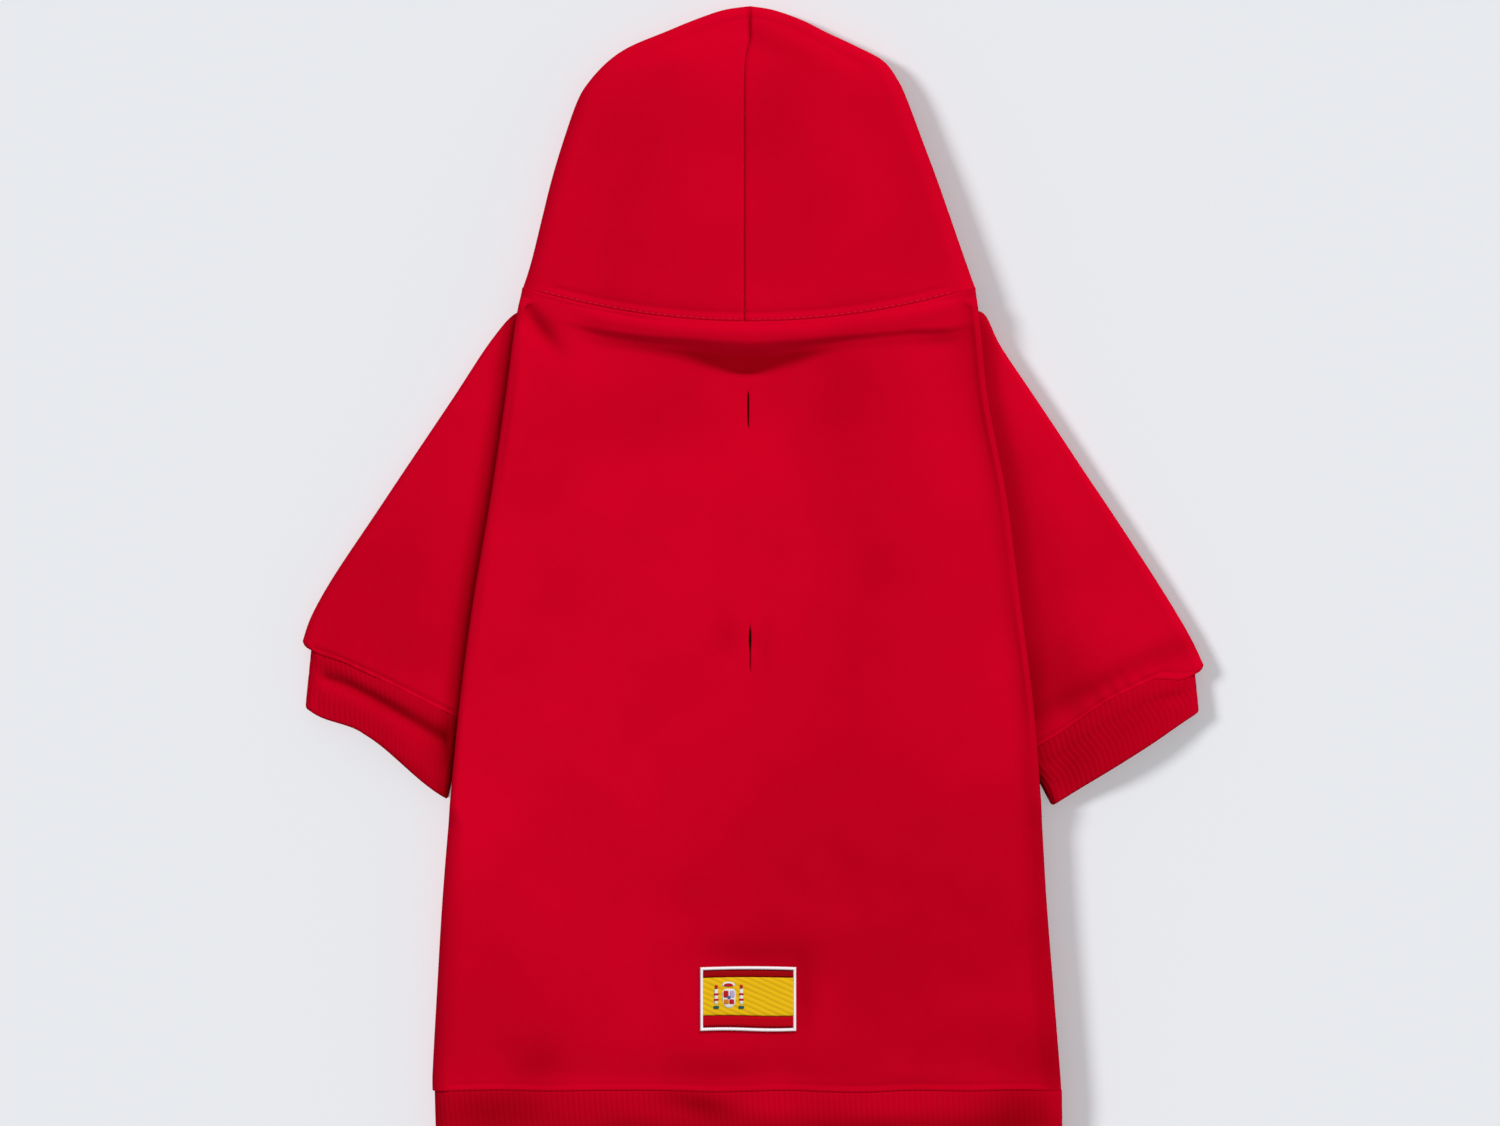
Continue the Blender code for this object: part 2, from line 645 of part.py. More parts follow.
def make_hem(material, collection):
    shares = rib_shares(2 * HEM_HALF_WIDTH)
    grid = []
    for row in HEM:
        y = HEM_SEAM_Y - HEM_DEPTH * row.depth
        left = Vector((-row.left * HEM_HALF_WIDTH, y))
        right = Vector((row.right * HEM_HALF_WIDTH, y))

        def rise(place, share, row=row):
            return CROWN * row.height * crown_at(2 * share - 1)

        grid.append(ring(left, right, EDGE_HEIGHT * row.height, ribbed(rise, shares), shares))
    grid[0] = moved(grid[0], -SEAM_GAP / 2)
    return skin("hem_band", grid, RIB_FABRIC, material, collection, closed=True)


def on_back(x, y, lift):
    """A point over the lower back, the lift above its outer skin."""
    return (x, y, back_height((NECK_EDGE_Y - y) / BODY_LENGTH, x) + lift)


def rectangle(left, right, low, high, lift, steps=5):
    """A closed loop of points over the back, round a rectangle."""
    corners = [(left, low), (right, low), (right, high), (left, high)]
    loop = []
    for (x0, y0), (x1, y1) in zip(corners, corners[1:] + corners[:1]):
        for step in range(steps):
            loop.append(on_back(mix(x0, x1, step / steps), mix(y0, y1, step / steps), lift))
    return loop


def make_patch(collection):
    """A framed patch of three stripes with a small raised shield, sewn on above the hem."""
    middle_x = PATCH.across * HEM_HALF_WIDTH
    middle_y = NECK_EDGE_Y - PATCH.along * BODY_LENGTH
    left, right = middle_x - PATCH_WIDTH / 2, middle_x + PATCH_WIDTH / 2
    low, high = middle_y - PATCH_HEIGHT / 2, middle_y + PATCH_HEIGHT / 2
    lift = SEAM_GAP + PATCH_THICKNESS
    border = cloth_material("patch_border", WHITE, 0.6)
    loops = [
        rectangle(left, right, low, high, lift),
        rectangle(
            left + PATCH_BORDER, right - PATCH_BORDER, low + PATCH_BORDER, high - PATCH_BORDER, lift
        ),
    ]
    skin("patch_border", loops, PATCH_THICKNESS, border, collection, closed=True, flip=True)
    inside = PATCH_BORDER + SEAM_GAP
    field = PATCH_HEIGHT - 2 * inside
    top = high - inside
    for stripe in STRIPES:
        bottom = top - stripe.share * field
        rows = []
        for y in (top, (top + bottom) / 2, bottom + SEAM_GAP):
            row = []
            for step in range(PATCH_STEPS + 1):
                row.append(on_back(mix(left + inside, right - inside, step / PATCH_STEPS), y, lift))
            rows.append(row)
        colour = cloth_material(f"patch_{stripe.name}", stripe.colour, 0.6)
        skin(f"patch_stripe_{stripe.name}", rows, PATCH_THICKNESS, colour, collection)
        if stripe.name == "middle":
            make_crest(middle_x, (top + bottom) / 2, lift + SEAM_GAP, collection)
        top = bottom


def make_crest(middle_x, middle_y, lift, collection):
    """A plain heater shield: straight sides in its upper half, two arcs that meet below."""
    x = middle_x + CREST_ACROSS * PATCH_WIDTH
    half = CREST_WIDTH / 2
    top = middle_y + CREST_HEIGHT / 2
    rows = []
    for step in range(PATCH_STEPS + 1):
        down = step / PATCH_STEPS
        width = half * math.sqrt(max(1 - max(2 * down - 1, 0) ** 2, 0.02))
        row = []
        for across in (-1, -0.5, 0, 0.5, 1):
            row.append(on_back(x + across * width, top - down * CREST_HEIGHT, lift + CREST_THICKNESS))
        rows.append(row)
    crest = cloth_material("patch_crest", CREST_RED, 0.6)
    return skin("patch_crest", rows, CREST_THICKNESS, crest, collection)


def main():
    garment, cutters = start_scene()
    jersey = cloth_material("jersey", RED)
    rib = cloth_material("rib_knit", RIB_RED)
    make_back(jersey, garment, cutters)
    make_belly(jersey, garment)
    make_hem(rib, garment)
    for arm in ARMS:
        make_hood_half(arm, jersey, garment)
        make_sleeve(arm, jersey, garment)
        make_cuff(arm, rib, garment)
    make_patch(garment)


main()
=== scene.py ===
"""The looks of a dog hoodie laid flat, back up: fine cloth panels, ribs, seams, topstitching and a patch.

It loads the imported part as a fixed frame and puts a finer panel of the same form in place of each
plain one. Lengths are in metres, +X runs to the right sleeve, +Y to the hood and +Z up.
"""

import math
from collections import namedtuple
from functools import lru_cache

import bpy
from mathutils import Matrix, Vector, noise

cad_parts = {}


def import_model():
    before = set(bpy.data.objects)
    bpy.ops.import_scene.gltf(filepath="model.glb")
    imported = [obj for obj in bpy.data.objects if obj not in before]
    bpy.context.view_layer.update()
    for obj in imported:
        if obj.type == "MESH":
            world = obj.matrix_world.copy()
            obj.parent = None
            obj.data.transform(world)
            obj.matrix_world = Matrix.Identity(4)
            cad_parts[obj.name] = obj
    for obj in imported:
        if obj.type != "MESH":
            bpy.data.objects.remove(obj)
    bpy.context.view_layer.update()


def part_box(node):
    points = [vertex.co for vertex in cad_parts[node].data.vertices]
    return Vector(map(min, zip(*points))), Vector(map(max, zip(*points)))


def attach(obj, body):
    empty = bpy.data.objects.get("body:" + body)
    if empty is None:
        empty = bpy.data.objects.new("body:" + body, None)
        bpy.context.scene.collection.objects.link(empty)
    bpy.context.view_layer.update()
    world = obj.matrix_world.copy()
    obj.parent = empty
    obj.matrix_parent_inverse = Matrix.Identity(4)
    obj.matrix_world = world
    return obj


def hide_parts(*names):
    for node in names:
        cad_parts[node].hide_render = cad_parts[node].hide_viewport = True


MM = 0.001

# Cloth
FABRIC = 1.8 * MM
RIB_FABRIC = 2.2 * MM
SEAM_GAP = 0.05 * MM
RIB_PITCH = 2.7 * MM
RIB_RELIEF = 0.32 * MM
RIB_SHARPNESS = 0.7
POINTS_PER_RIB = 6

# Lengths along the garment
HOOD_LENGTH = 140 * MM
BODY_LENGTH = 401.5 * MM
HEM_DEPTH = 41.5 * MM
NECK_EDGE_Y = (BODY_LENGTH + HEM_DEPTH - HOOD_LENGTH) / 2
HEM_SEAM_Y = NECK_EDGE_Y - BODY_LENGTH

# Widths
HEM_HALF_WIDTH = 157.5 * MM
NECK_HALF_WIDTH = 113.5 * MM
FACE_OPENING_HALF_WIDTH = 56 * MM
FACE_OPENING_LENGTH = 133 * MM
FLAP_WIDTH = 24 * MM
FLAP_SHELF = 10.3 * MM
FLAP_LAP = 4 * MM

# Heights of the outer skin over the floor. A crown is flat in its middle and falls to its edges.
EDGE_HEIGHT = 19 * MM
CROWN = 6 * MM
CROWN_FLATNESS = 2.5
CROWN_FALL = 1.5
SLEEVE_HEIGHT = 11 * MM
SLEEVE_CROWN = 3.5 * MM
SLEEVE_CLEAR = 32 * MM

# Neckline
BACK_SCOOP = 17.5 * MM
FRONT_SCOOP = 26.5 * MM
SCOOP_REACH = 140 * MM
SCOOP_FADE = 4
HOOD_UNDER_SAG = 1.4 * MM

# The groove on a sleeve beside the body's side fold
FOLD_GROOVE = 1.8 * MM
FOLD_GROOVE_PLACE = 3 * MM
FOLD_GROOVE_WIDTH = 6 * MM

# Sleeves and cuffs
CUFF_WIDTH = 85 * MM
CUFF_DEPTH = 28 * MM
CUFF_HEIGHT = 10.6 * MM
SHOULDER_DROP = 3 * MM
OVERHANG_OUT = 4.2 * MM
OVERHANG_UP = 4.5 * MM
OUTER_SIDE_LEAN = 5.7
BOW_START = 0.2
MOUTH_BOW_START = 0.34
BOW_END = 0.6
MOUTH_TURN_IN = 0.8 * MM

# The neck roll's crest, which is full where the valley below it drops ROLL_FULL_DROP millimetres. The
# first STEEP_LENGTH of the valley takes STEEP_FALL of its drop, and the cloth rises again below it.
ROLL_PLACE = 6 * MM
ROLL_WIDTH = 4.5 * MM
ROLL_RISE = 1.4 * MM
ROLL_FULL_DROP = 4
STEEP_FALL = 0.60
STEEP_LENGTH = 0.40
VALLEY_RECOVERY = 70 * MM

# A short crease below the valley
CREASE_PLACE = 26.6 * MM
CREASE_X = -2.5 * MM
CREASE_HALF = 13 * MM
CREASE_WIDTH = 0.8 * MM
CREASE_DEPTH = 0.5 * MM

# The hem seam's run up and down
HEM_SWAY = 1.1 * MM
HEM_SWAY_LENGTH = 38 * MM
HEM_SWAY_START = 0.85
HEM_SWAY_SEED = 0.3

# Topstitching
STITCH_LENGTH = 2.4 * MM
STITCH_STEP = 3.2 * MM
STITCH_RADIUS = 0.14 * MM
STITCH_ARCH = 0.10 * MM
STITCH_SINK = 0.04 * MM
STITCH_RINGS = 5
STITCH_SIDES = 6

# Side folds of the body: shares of BODY_LENGTH below the neck edge and of HEM_HALF_WIDTH.
BodyRow = namedtuple("BodyRow", "along left right")
BODY = (
    BodyRow(0.000, 0.724, 0.717),
    BodyRow(0.047, 0.746, 0.730),
    BodyRow(0.141, 0.778, 0.756),
    BodyRow(0.265, 0.825, 0.816),
    BodyRow(0.390, 0.879, 0.857),
    BodyRow(0.514, 0.921, 0.898),
    BodyRow(0.639, 0.952, 0.924),
    BodyRow(0.763, 0.978, 0.943),
    BodyRow(0.888, 0.997, 0.968),
    BodyRow(0.981, 1.010, 0.987),
    BodyRow(1.000, 1.010, 0.990),
)

# "room" is 1 where a sleeve or cuff lies under the side fold and 0 where the fold reaches the floor.
# "armhole" is 1 where the flap's end stays up on the sleeve.
ZoneRow = namedtuple("ZoneRow", "along room armhole")
ZONES = (
    ZoneRow(0.000, 0, 0),
    ZoneRow(0.011, 0, 0),
    ZoneRow(0.0225, 1, 1),
    ZoneRow(0.480, 1, 1),
    ZoneRow(0.490, 1, 0),
    ZoneRow(0.645, 1, 0),
    ZoneRow(0.670, 0, 0),
    ZoneRow(1.000, 0, 0),
)
SHOULDER = ZONES[2].along
ARMPIT = ZONES[3].along

# The valley under the neck roll, over the width of the neck: "across" is a share of HEM_HALF_WIDTH,
# and where it starts, how long it is and how far it drops are in millimetres.
NeckRow = namedtuple("NeckRow", "across start length drop")
NECK = (
    NeckRow(-0.80, 12.0, 8.0, 0.0),
    NeckRow(-0.58, 11.0, 8.0, 0.6),
    NeckRow(-0.48, 11.0, 9.0, 3.4),
    NeckRow(-0.34, 10.5, 9.5, 5.0),
    NeckRow(-0.22, 9.5, 12.5, 5.2),
    NeckRow(-0.12, 9.5, 16.0, 6.0),
    NeckRow(0.00, 10.0, 17.0, 6.6),
    NeckRow(0.13, 9.5, 15.0, 6.2),
    NeckRow(0.22, 9.5, 11.0, 4.8),
    NeckRow(0.32, 10.0, 7.5, 3.2),
    NeckRow(0.42, 11.0, 8.0, 2.8),
    NeckRow(0.52, 12.5, 9.0, 3.4),
    NeckRow(0.62, 16.0, 9.0, 3.2),
    NeckRow(0.69, 17.0, 9.0, 1.0),
    NeckRow(0.80, 18.0, 8.0, 0.0),
)

# Soft folds of the back. "across" and "wide" are shares of HEM_HALF_WIDTH, "down" and "deep" shares
# of BODY_LENGTH below the neck seam, "lean" turns the fold in degrees, and "rise" is a share of CROWN.
Fold = namedtuple("Fold", "across down wide deep lean rise")
FOLDS = (
    Fold(-0.685, 0.040, 0.030, 0.034, 40, -0.60),
    Fold(0.00, 0.420, 0.10, 0.040, 0, -0.08),
    Fold(0.10, 0.865, 0.20, 0.030, 0, -0.14),
    Fold(0.25, 0.860, 0.22, 0.060, 0, -0.16),
    Fold(-0.30, 0.955, 0.40, 0.030, 0, 0.12),
)

# The slight unevenness of laid cloth: each wave's reach across and along and its rise, in millimetres
Wave = namedtuple("Wave", "across along rise seed")
WAVES = (Wave(60, 75, 1.7, 0), Wave(22, 30, 0.36, 9))

# The relief of a seam on one of its panels: how far from the seam, how wide and how high each ridge
# or groove is, in millimetres.
SeamLine = namedtuple("SeamLine", "away wide rise")
NECK_SEAM_BODY = (SeamLine(0.0, 0.5, -0.12), SeamLine(1.2, 0.7, 0.16), SeamLine(2.4, 0.6, -0.16))
NECK_SEAM_HOOD = (SeamLine(0.0, 0.5, -0.12), SeamLine(1.6, 0.9, 0.24), SeamLine(4.0, 1.4, -0.42))
HEM_SEAM = (SeamLine(0.0, 0.6, -0.20), SeamLine(1.2, 0.8, 0.34), SeamLine(3.4, 1.0, -0.30))
CUFF_SEAM = (SeamLine(0.2, 0.6, 0.10), SeamLine(1.8, 0.9, -0.42))
HOOD_SEAM = (SeamLine(0.0, 0.8, -0.85), SeamLine(2.2, 1.2, 0.10))
SLIT_EDGE = (SeamLine(0.0, 0.7, -0.25), SeamLine(3.2, 2.0, 0.08))

# The hood from the neck seam to its peak. "up" is a share of HOOD_LENGTH above the neck edge, "left"
# and "right" are shares of NECK_HALF_WIDTH, "seam" is the centre seam's place across and "spine" its
# share of the way from the neck seam to the peak. "radius" and "crown" are shares of half the
# EDGE_HEIGHT and of CROWN. The face opening's rim is at "rim" and "face", shares of its own sizes.
HoodRow = namedtuple("HoodRow", "up left right seam spine radius crown rim face")
HOOD = (
    HoodRow(0.000, 1.004, 0.996, -0.026, 0.00, 1.00, 1.00, 0.00, 0.00),
    HoodRow(0.096, 0.965, 0.952, -0.026, 0.11, 1.00, 1.04, 0.62, 0.06),
    HoodRow(0.239, 0.921, 0.890, -0.026, 0.27, 0.99, 1.08, 0.92, 0.20),
    HoodRow(0.382, 0.877, 0.828, -0.026, 0.42, 0.97, 1.10, 1.00, 0.39),
    HoodRow(0.525, 0.824, 0.762, -0.026, 0.56, 0.94, 1.08, 0.95, 0.58),
    HoodRow(0.668, 0.762, 0.696, -0.026, 0.69, 0.89, 1.02, 0.81, 0.74),
    HoodRow(0.739, 0.709, 0.656, -0.025, 0.76, 0.85, 0.95, 0.68, 0.82),
    HoodRow(0.811, 0.626, 0.590, -0.022, 0.82, 0.80, 0.86, 0.52, 0.89),
    HoodRow(0.864, 0.529, 0.471, -0.014, 0.86, 0.75, 0.74, 0.37, 0.94),
    HoodRow(0.918, 0.370, 0.330, -0.006, 0.89, 0.70, 0.58, 0.23, 0.97),
    HoodRow(0.958, 0.251, 0.233, 0.000, 0.91, 0.66, 0.42, 0.13, 0.99),
    HoodRow(0.995, 0.118, 0.105, 0.003, 0.93, 0.64, 0.28, 0.06, 1.00),
    HoodRow(1.009, 0.000, 0.000, 0.004, 0.94, 0.63, 0.22, 0.00, 1.00),
)

# A sleeve from armhole to cuff. Its outer edge goes "out" and down ("drop") as shares of the way from
# the shoulder to the tip. Its inner edge lies "tuck" of FLAP_WIDTH inside the body's fold and has
# come "fall" of the way from the armpit to the cuff.
SleeveRow = namedtuple("SleeveRow", "left_out left_drop right_out right_drop tuck fall")
SLEEVE = (
    SleeveRow(-0.222, 0.052, -0.214, 0.052, 1.00, 0.00),
    SleeveRow(-0.110, 0.018, -0.107, 0.018, 0.70, 0.00),
    SleeveRow(0.000, 0.000, 0.018, 0.000, 0.42, 0.05),
    SleeveRow(0.125, 0.087, 0.104, 0.100, 0.27, 0.25),
    SleeveRow(0.306, 0.266, 0.281, 0.268, 0.20, 0.46),
    SleeveRow(0.490, 0.445, 0.455, 0.436, 0.17, 0.62),
    SleeveRow(0.676, 0.627, 0.630, 0.603, 0.15, 0.75),
    SleeveRow(0.856, 0.803, 0.801, 0.771, 0.14, 0.86),
    SleeveRow(0.958, 0.922, 0.933, 0.911, 0.14, 0.94),
    SleeveRow(1.000, 1.000, 1.000, 1.000, 0.14, 1.00),
)

# How each cuff lies: its seam's inner end below the armpit and inside the body's fold, as shares of
# CUFF_WIDTH and FLAP_WIDTH, its outer side as a share of CUFF_DEPTH, and for its seam and its mouth
# the slope in degrees, the length as a share of CUFF_WIDTH and how far it is bowed towards the
# shoulder as a share of CUFF_DEPTH. "dip" is how deep its cross fold is, as a share of CUFF_HEIGHT.
Arm = namedtuple(
    "Arm", "name sign below inside outer_side seam_slope seam seam_bow mouth_slope mouth mouth_bow dip"
)
ARMS = (
    Arm("left", -1, 0.286, 0.14, 1.037, 24.6, 1.000, 0.05, 32.8, 1.00, 0.185, 0.26),
    Arm("right", 1, 0.475, 0.28, 0.680, 24.6, 1.115, 0.23, 32.6, 1.03, -0.020, 0.08),
)

# The leash slits: their places on the back, as shares of HEM_HALF_WIDTH and BODY_LENGTH, and their
# length, how wide each half gapes and how far one lip stands over the other, in millimetres.
Slit = namedtuple("Slit", "across along long gape_up gape_down lip")
SLITS = (
    Slit(-0.006, 0.136, 21.0, 0.85, 0.75, 0.0),
    Slit(0.000, 0.449, 21.0, 1.20, 0.40, 0.9),
)
SLIT_HALVES_BLEND = 0.3
SLIT_SIDES_END = 0.9
SLIT_SIDES_FADE = 0.8
LIP_AWAY = 0.9 * MM
LIP_WIDTH = 1.1 * MM
LIP_WAY = 0.45
LIP_REACH = 0.35


def mix(low, high, share):
    return low + (high - low) * share


def clamp(share):
    return min(max(share, 0.0), 1.0)


def ease(share):
    """0 up to 0, 1 from 1 on, and a smooth step between."""
    share = clamp(share)
    return share * share * (3 - 2 * share)


def hill(distance, width):
    """1 at no distance, and soft slopes to 0 on both sides."""
    return math.exp(-((distance / width) ** 2))


def steps(*runs):
    """Places from 0 on: each run is (its end, about how far apart its places are)."""
    places = [0.0]
    for end, step in runs:
        start = places[-1]
        count = max(round((end - start) / step), 1)
        places += [mix(start, end, number / count) for number in range(1, count + 1)]
    return places


def read_straight(rows, key, column, at):
    """The table's column at one value of its key, in straight runs between its rows."""
    for low, high in zip(rows, rows[1:]):
        start, end = getattr(low, key), getattr(high, key)
        if at <= end:
            return mix(getattr(low, column), getattr(high, column), (at - start) / (end - start))
    return getattr(rows[-1], column)


@lru_cache(maxsize=100000)
def read_smooth(rows, key, column, at):
    """The table's column at one value of its key, on a smooth curve through its rows."""
    keys = [getattr(row, key) for row in rows]
    values = [getattr(row, column) for row in rows]
    last = len(rows) - 1

    def slope(i):
        low, high = max(i - 1, 0), min(i + 1, last)
        return (values[high] - values[low]) / (keys[high] - keys[low])

    i = 0
    while i < last - 1 and at > keys[i + 1]:
        i += 1
    width = keys[i + 1] - keys[i]
    t = (at - keys[i]) / width
    start = values[i] * (1 + 2 * t) * (1 - t) ** 2 + slope(i) * width * t * (1 - t) ** 2
    end = values[i + 1] * t * t * (3 - 2 * t) + slope(i + 1) * width * t * t * (t - 1)
    return start + end


def row_between(rows, number):
    """A table's row at a number between its rows, on a smooth curve through them."""
    last = len(rows) - 1
    low = min(int(number), last - 1)
    t = number - low
    around = [rows[min(max(low + step, 0), last)] for step in (-1, 0, 1, 2)]
    values = []
    for before, start, end, after in zip(*around):
        turn = 2 * start - 2 * end + (end - before + after - start) / 2
        bend = 3 * (end - start) - (2 * (end - before) + after - start) / 2
        values.append(start + t * ((end - before) / 2 + t * (bend + t * turn)))
    return type(rows[0])(*values)


def side(sign):
    return "left" if sign < 0 else "right"


def sign_at(x):
    return -1 if x < 0 else 1


def body_half_width(along, sign):
    return HEM_HALF_WIDTH * read_smooth(BODY, "along", side(sign), along)


def body_edge_at(y, sign):
    """Distance of the body's side fold from the middle, at a place along the garment."""
    return body_half_width((NECK_EDGE_Y - y) / BODY_LENGTH, sign)


def hem_sway(x):
    """How far the hem's seam runs up and down."""
    return HEM_SWAY * noise.noise(Vector((x / HEM_SWAY_LENGTH, HEM_SWAY_SEED, 0.0)))


def row_y(along, x, scoop):
    """Where a cross row of the body lies at x: it sags towards the hem by the neckline's scoop."""
    left = max(1 - along * BODY_LENGTH / SCOOP_REACH, 0) ** 2
    sag = scoop * left * (1 - (x / body_half_width(along, sign_at(x))) ** 2)
    sway = hem_sway(x) * ease((along - HEM_SWAY_START) / (1 - HEM_SWAY_START))
    return NECK_EDGE_Y - along * BODY_LENGTH - sag + sway


def crown_at(share):
    """The rounded cross-section of a laid panel: 1 in the middle and 0 where the side fold starts."""
    return (1 - min(abs(share), 1) ** CROWN_FLATNESS) ** CROWN_FALL


def seam_relief(lines, away):
    """The height of a seam's ridges and grooves, at a distance from it."""
    return sum(line.rise * hill(away / MM - line.away, line.wide) for line in lines) * MM


def soft_waves(x, y, seed):
    height = 0
    for wave in WAVES:
        place = Vector((x / (wave.across * MM), y / (wave.along * MM), seed + wave.seed))
        height += wave.rise * noise.noise(place)
    return height * MM


def neck_valley(x):
    """Where the neck's valley starts at x, how long it is and how far it drops, in millimetres."""
    across = x / HEM_HALF_WIDTH
    start, length, drop = (read_smooth(NECK, "across", name, across) for name in NeckRow._fields[1:])
    return start, length, max(drop, 0)


def neck_roll(below, x):
    """The roll of cloth under the neck seam and the valley below it, at a distance below the seam."""
    start, length, drop = neck_valley(x)
    way = (below / MM - start) / length
    fall = STEEP_FALL * ease(way / STEEP_LENGTH) + (1 - STEEP_FALL) * clamp(way)
    risen = ease((below - (start + length) * MM) / VALLEY_RECOVERY)
    roll = ROLL_RISE * hill(below - ROLL_PLACE, ROLL_WIDTH) * ease(drop / ROLL_FULL_DROP)
    crease = CREASE_DEPTH * hill(below - CREASE_PLACE, CREASE_WIDTH) * hill(x - CREASE_X, CREASE_HALF)
    return roll - crease - drop * MM * fall * (1 - risen)


def fold_relief(along, x):
    """The soft folds of the back."""
    total = 0
    for fold in FOLDS:
        turn = math.radians(fold.lean)
        right = x / HEM_HALF_WIDTH - fold.across
        down = (along - fold.down) * BODY_LENGTH / HEM_HALF_WIDTH
        across = right * math.cos(turn) - down * math.sin(turn)
        deep = right * math.sin(turn) + down * math.cos(turn)
        total += fold.rise * hill(across, fold.wide) * hill(deep, fold.deep * BODY_LENGTH / HEM_HALF_WIDTH)
    return CROWN * total


def slit_at(along):
    """The slit that is nearest, and how far below its middle a place is, as a share of its half length."""
    slit = min(SLITS, key=lambda one: abs(one.along - along))
    return slit, (along - slit.along) * BODY_LENGTH / (slit.long * MM / 2)


def slit_gape(along):
    """Half the width that the nearest slit gapes."""
    slit, way = slit_at(along)
    if abs(way) >= 1:
        return 0
    lower = ease((way + SLIT_HALVES_BLEND) / (2 * SLIT_HALVES_BLEND))
    return mix(slit.gape_up, slit.gape_down, lower) * MM / 2 * math.sqrt(1 - way ** 4)


def slit_relief(along, x):
    """A slit's edges turn down, the cloth beside it is drawn up a little, and a lip stands over."""
    slit, way = slit_at(along)
    away = x - slit.across * HEM_HALF_WIDTH
    near = 1 - ease((abs(way) - SLIT_SIDES_END) / SLIT_SIDES_FADE)
    lip = slit.lip * MM * hill(away - LIP_AWAY, LIP_WIDTH) * hill(way - LIP_WAY, LIP_REACH)
    return seam_relief(SLIT_EDGE, abs(away)) * near + lip


BACK_SEED = 1.5
SOFT_BELOW_NECK = 4 * MM
SOFT_ABOVE_HEM = 10 * MM


def back_height(along, x):
    """Height of the back's outer skin."""
    below = along * BODY_LENGTH
    above_hem = BODY_LENGTH - below
    flat = body_half_width(along, sign_at(x)) - EDGE_HEIGHT / 2
    under_seam = row_y(0, x, BACK_SCOOP) - row_y(along, x, BACK_SCOOP)
    soft = neck_roll(under_seam, x) + fold_relief(along, x) + soft_waves(x, below, BACK_SEED)
    height = EDGE_HEIGHT + CROWN * crown_at(x / flat)
    height += soft * ease(below / SOFT_BELOW_NECK) * ease(above_hem / SOFT_ABOVE_HEM)
    height += seam_relief(NECK_SEAM_BODY, under_seam) + seam_relief(HEM_SEAM, above_hem)
    return height + slit_relief(along, x)


# Painted shade: soft dark spots by piece where the cloth lies in shade, at x and y, "wide" along the lean
# and "high" across it, all in millimetres, with the lean in degrees.
ShadeSpot = namedtuple("ShadeSpot", "x y wide high lean deep")
PAINTED_SHADES = {
    "back": (
        ShadeSpot(100, -165, 115, 95, 0, 0.33),
        ShadeSpot(-15, -130, 60, 55, 35, 0.10),
        ShadeSpot(-140, -205, 50, 55, 0, 0.20),
        ShadeSpot(0, -236, 190, 24, 0, 0.14),
        ShadeSpot(5, -180, 32, 9, 0, 0.24),
        ShadeSpot(27, -200, 5, 18, 0, 0.22),
        ShadeSpot(-105, -237, 14, 12, 0, 0.26),
        ShadeSpot(-20, -238, 22, 9, 0, 0.18),
        ShadeSpot(150, -236, 24, 16, 0, 0.20),
        ShadeSpot(-11, -22, 8, 10, 0, 0.22),
        ShadeSpot(8, -26, 6, 12, 0, 0.12),
        ShadeSpot(55, 40, 24, 110, 0, 0.18),
        ShadeSpot(100, 40, 26, 90, -8, 0.08),
        ShadeSpot(-65, 80, 32, 20, 0, 0.10),
        ShadeSpot(-103, 130, 12, 6, -45, 0.30),
        ShadeSpot(98, 127, 13, 5, 0, 0.16),
        ShadeSpot(0, 90, 110, 22, 0, 0.10),
    ),
    "hood_left": (
        ShadeSpot(-55, 165, 45, 45, 0, 0.12),
        ShadeSpot(-75, 235, 30, 30, 0, 0.07),
        ShadeSpot(-20, 250, 60, 40, 0, 0.08),
        ShadeSpot(0, 284, 9, 1.0, 90, 0.70),
    ),
    "hood_right": (
        ShadeSpot(40, 220, 80, 80, 0, 0.13),
        ShadeSpot(15, 235, 18, 34, 0, 0.07),
        ShadeSpot(12, 273, 24, 6, -20, 0.18),
        ShadeSpot(0, 284, 9, 1.0, 90, 0.70),
        ShadeSpot(85, 170, 30, 40, 0, 0.07),
    ),
    "sleeve_left": (ShadeSpot(-185, 0, 60, 60, 0, 0.24),),
    "sleeve_right": (
        ShadeSpot(155, -48, 22, 26, 60, 0.30),
        ShadeSpot(176, -45, 38, 5, 27, 0.24),
        ShadeSpot(214, -30, 18, 7, 20, 0.22),
        ShadeSpot(165, 20, 60, 60, 0, 0.14),
    ),
    "cuff_left": (
        ShadeSpot(-182, -56, 42, 3.6, -29, 0.48),
        ShadeSpot(-176, -85, 26, 3, -34, 0.40),
        ShadeSpot(-180, -70, 60, 30, 0, 0.10),
        ShadeSpot(-153, -76, 9, 14, 0, 0.35),
    ),
    "cuff_right": (
        ShadeSpot(175, -78, 60, 30, 0, 0.22),
        ShadeSpot(158, -92, 12, 8, 40, 0.20),
        ShadeSpot(190, -66, 40, 5, 30, 0.15),
    ),
    "hem": (
        ShadeSpot(-128, -260, 34, 14, 0, 0.52),
        ShadeSpot(-24, -256, 18, 6, -14, 0.60),
        ShadeSpot(-60, -268, 30, 6, 0, 0.40),
        ShadeSpot(65, -268, 85, 6, 0, 0.55),
        ShadeSpot(134, -260, 24, 14, 0, 0.50),
    ),
}

# Painted shade on a sleeve beside the side fold, along the back's own edge and in the neck's valley,
# by side where the sides differ. Distances below the seam are in millimetres.
FOLD_SHADE = {-1: 0.62, 1: 0.45}
FOLD_SHADE_REACH = 11 * MM
EDGE_SHADE = {-1: 0.0, 1: 0.24}
EDGE_SHADE_PLACE = 4 * MM
EDGE_SHADE_WIDTH = 5 * MM
NECK_SHADE = 0.70
NECK_SHADE_START = 3
NECK_SHADE_RISE = 5
NECK_SHADE_SHARP_END = 1.5
NECK_SHADE_SOFT_END = 6
NECK_SHADE_FULL_DROP = 6


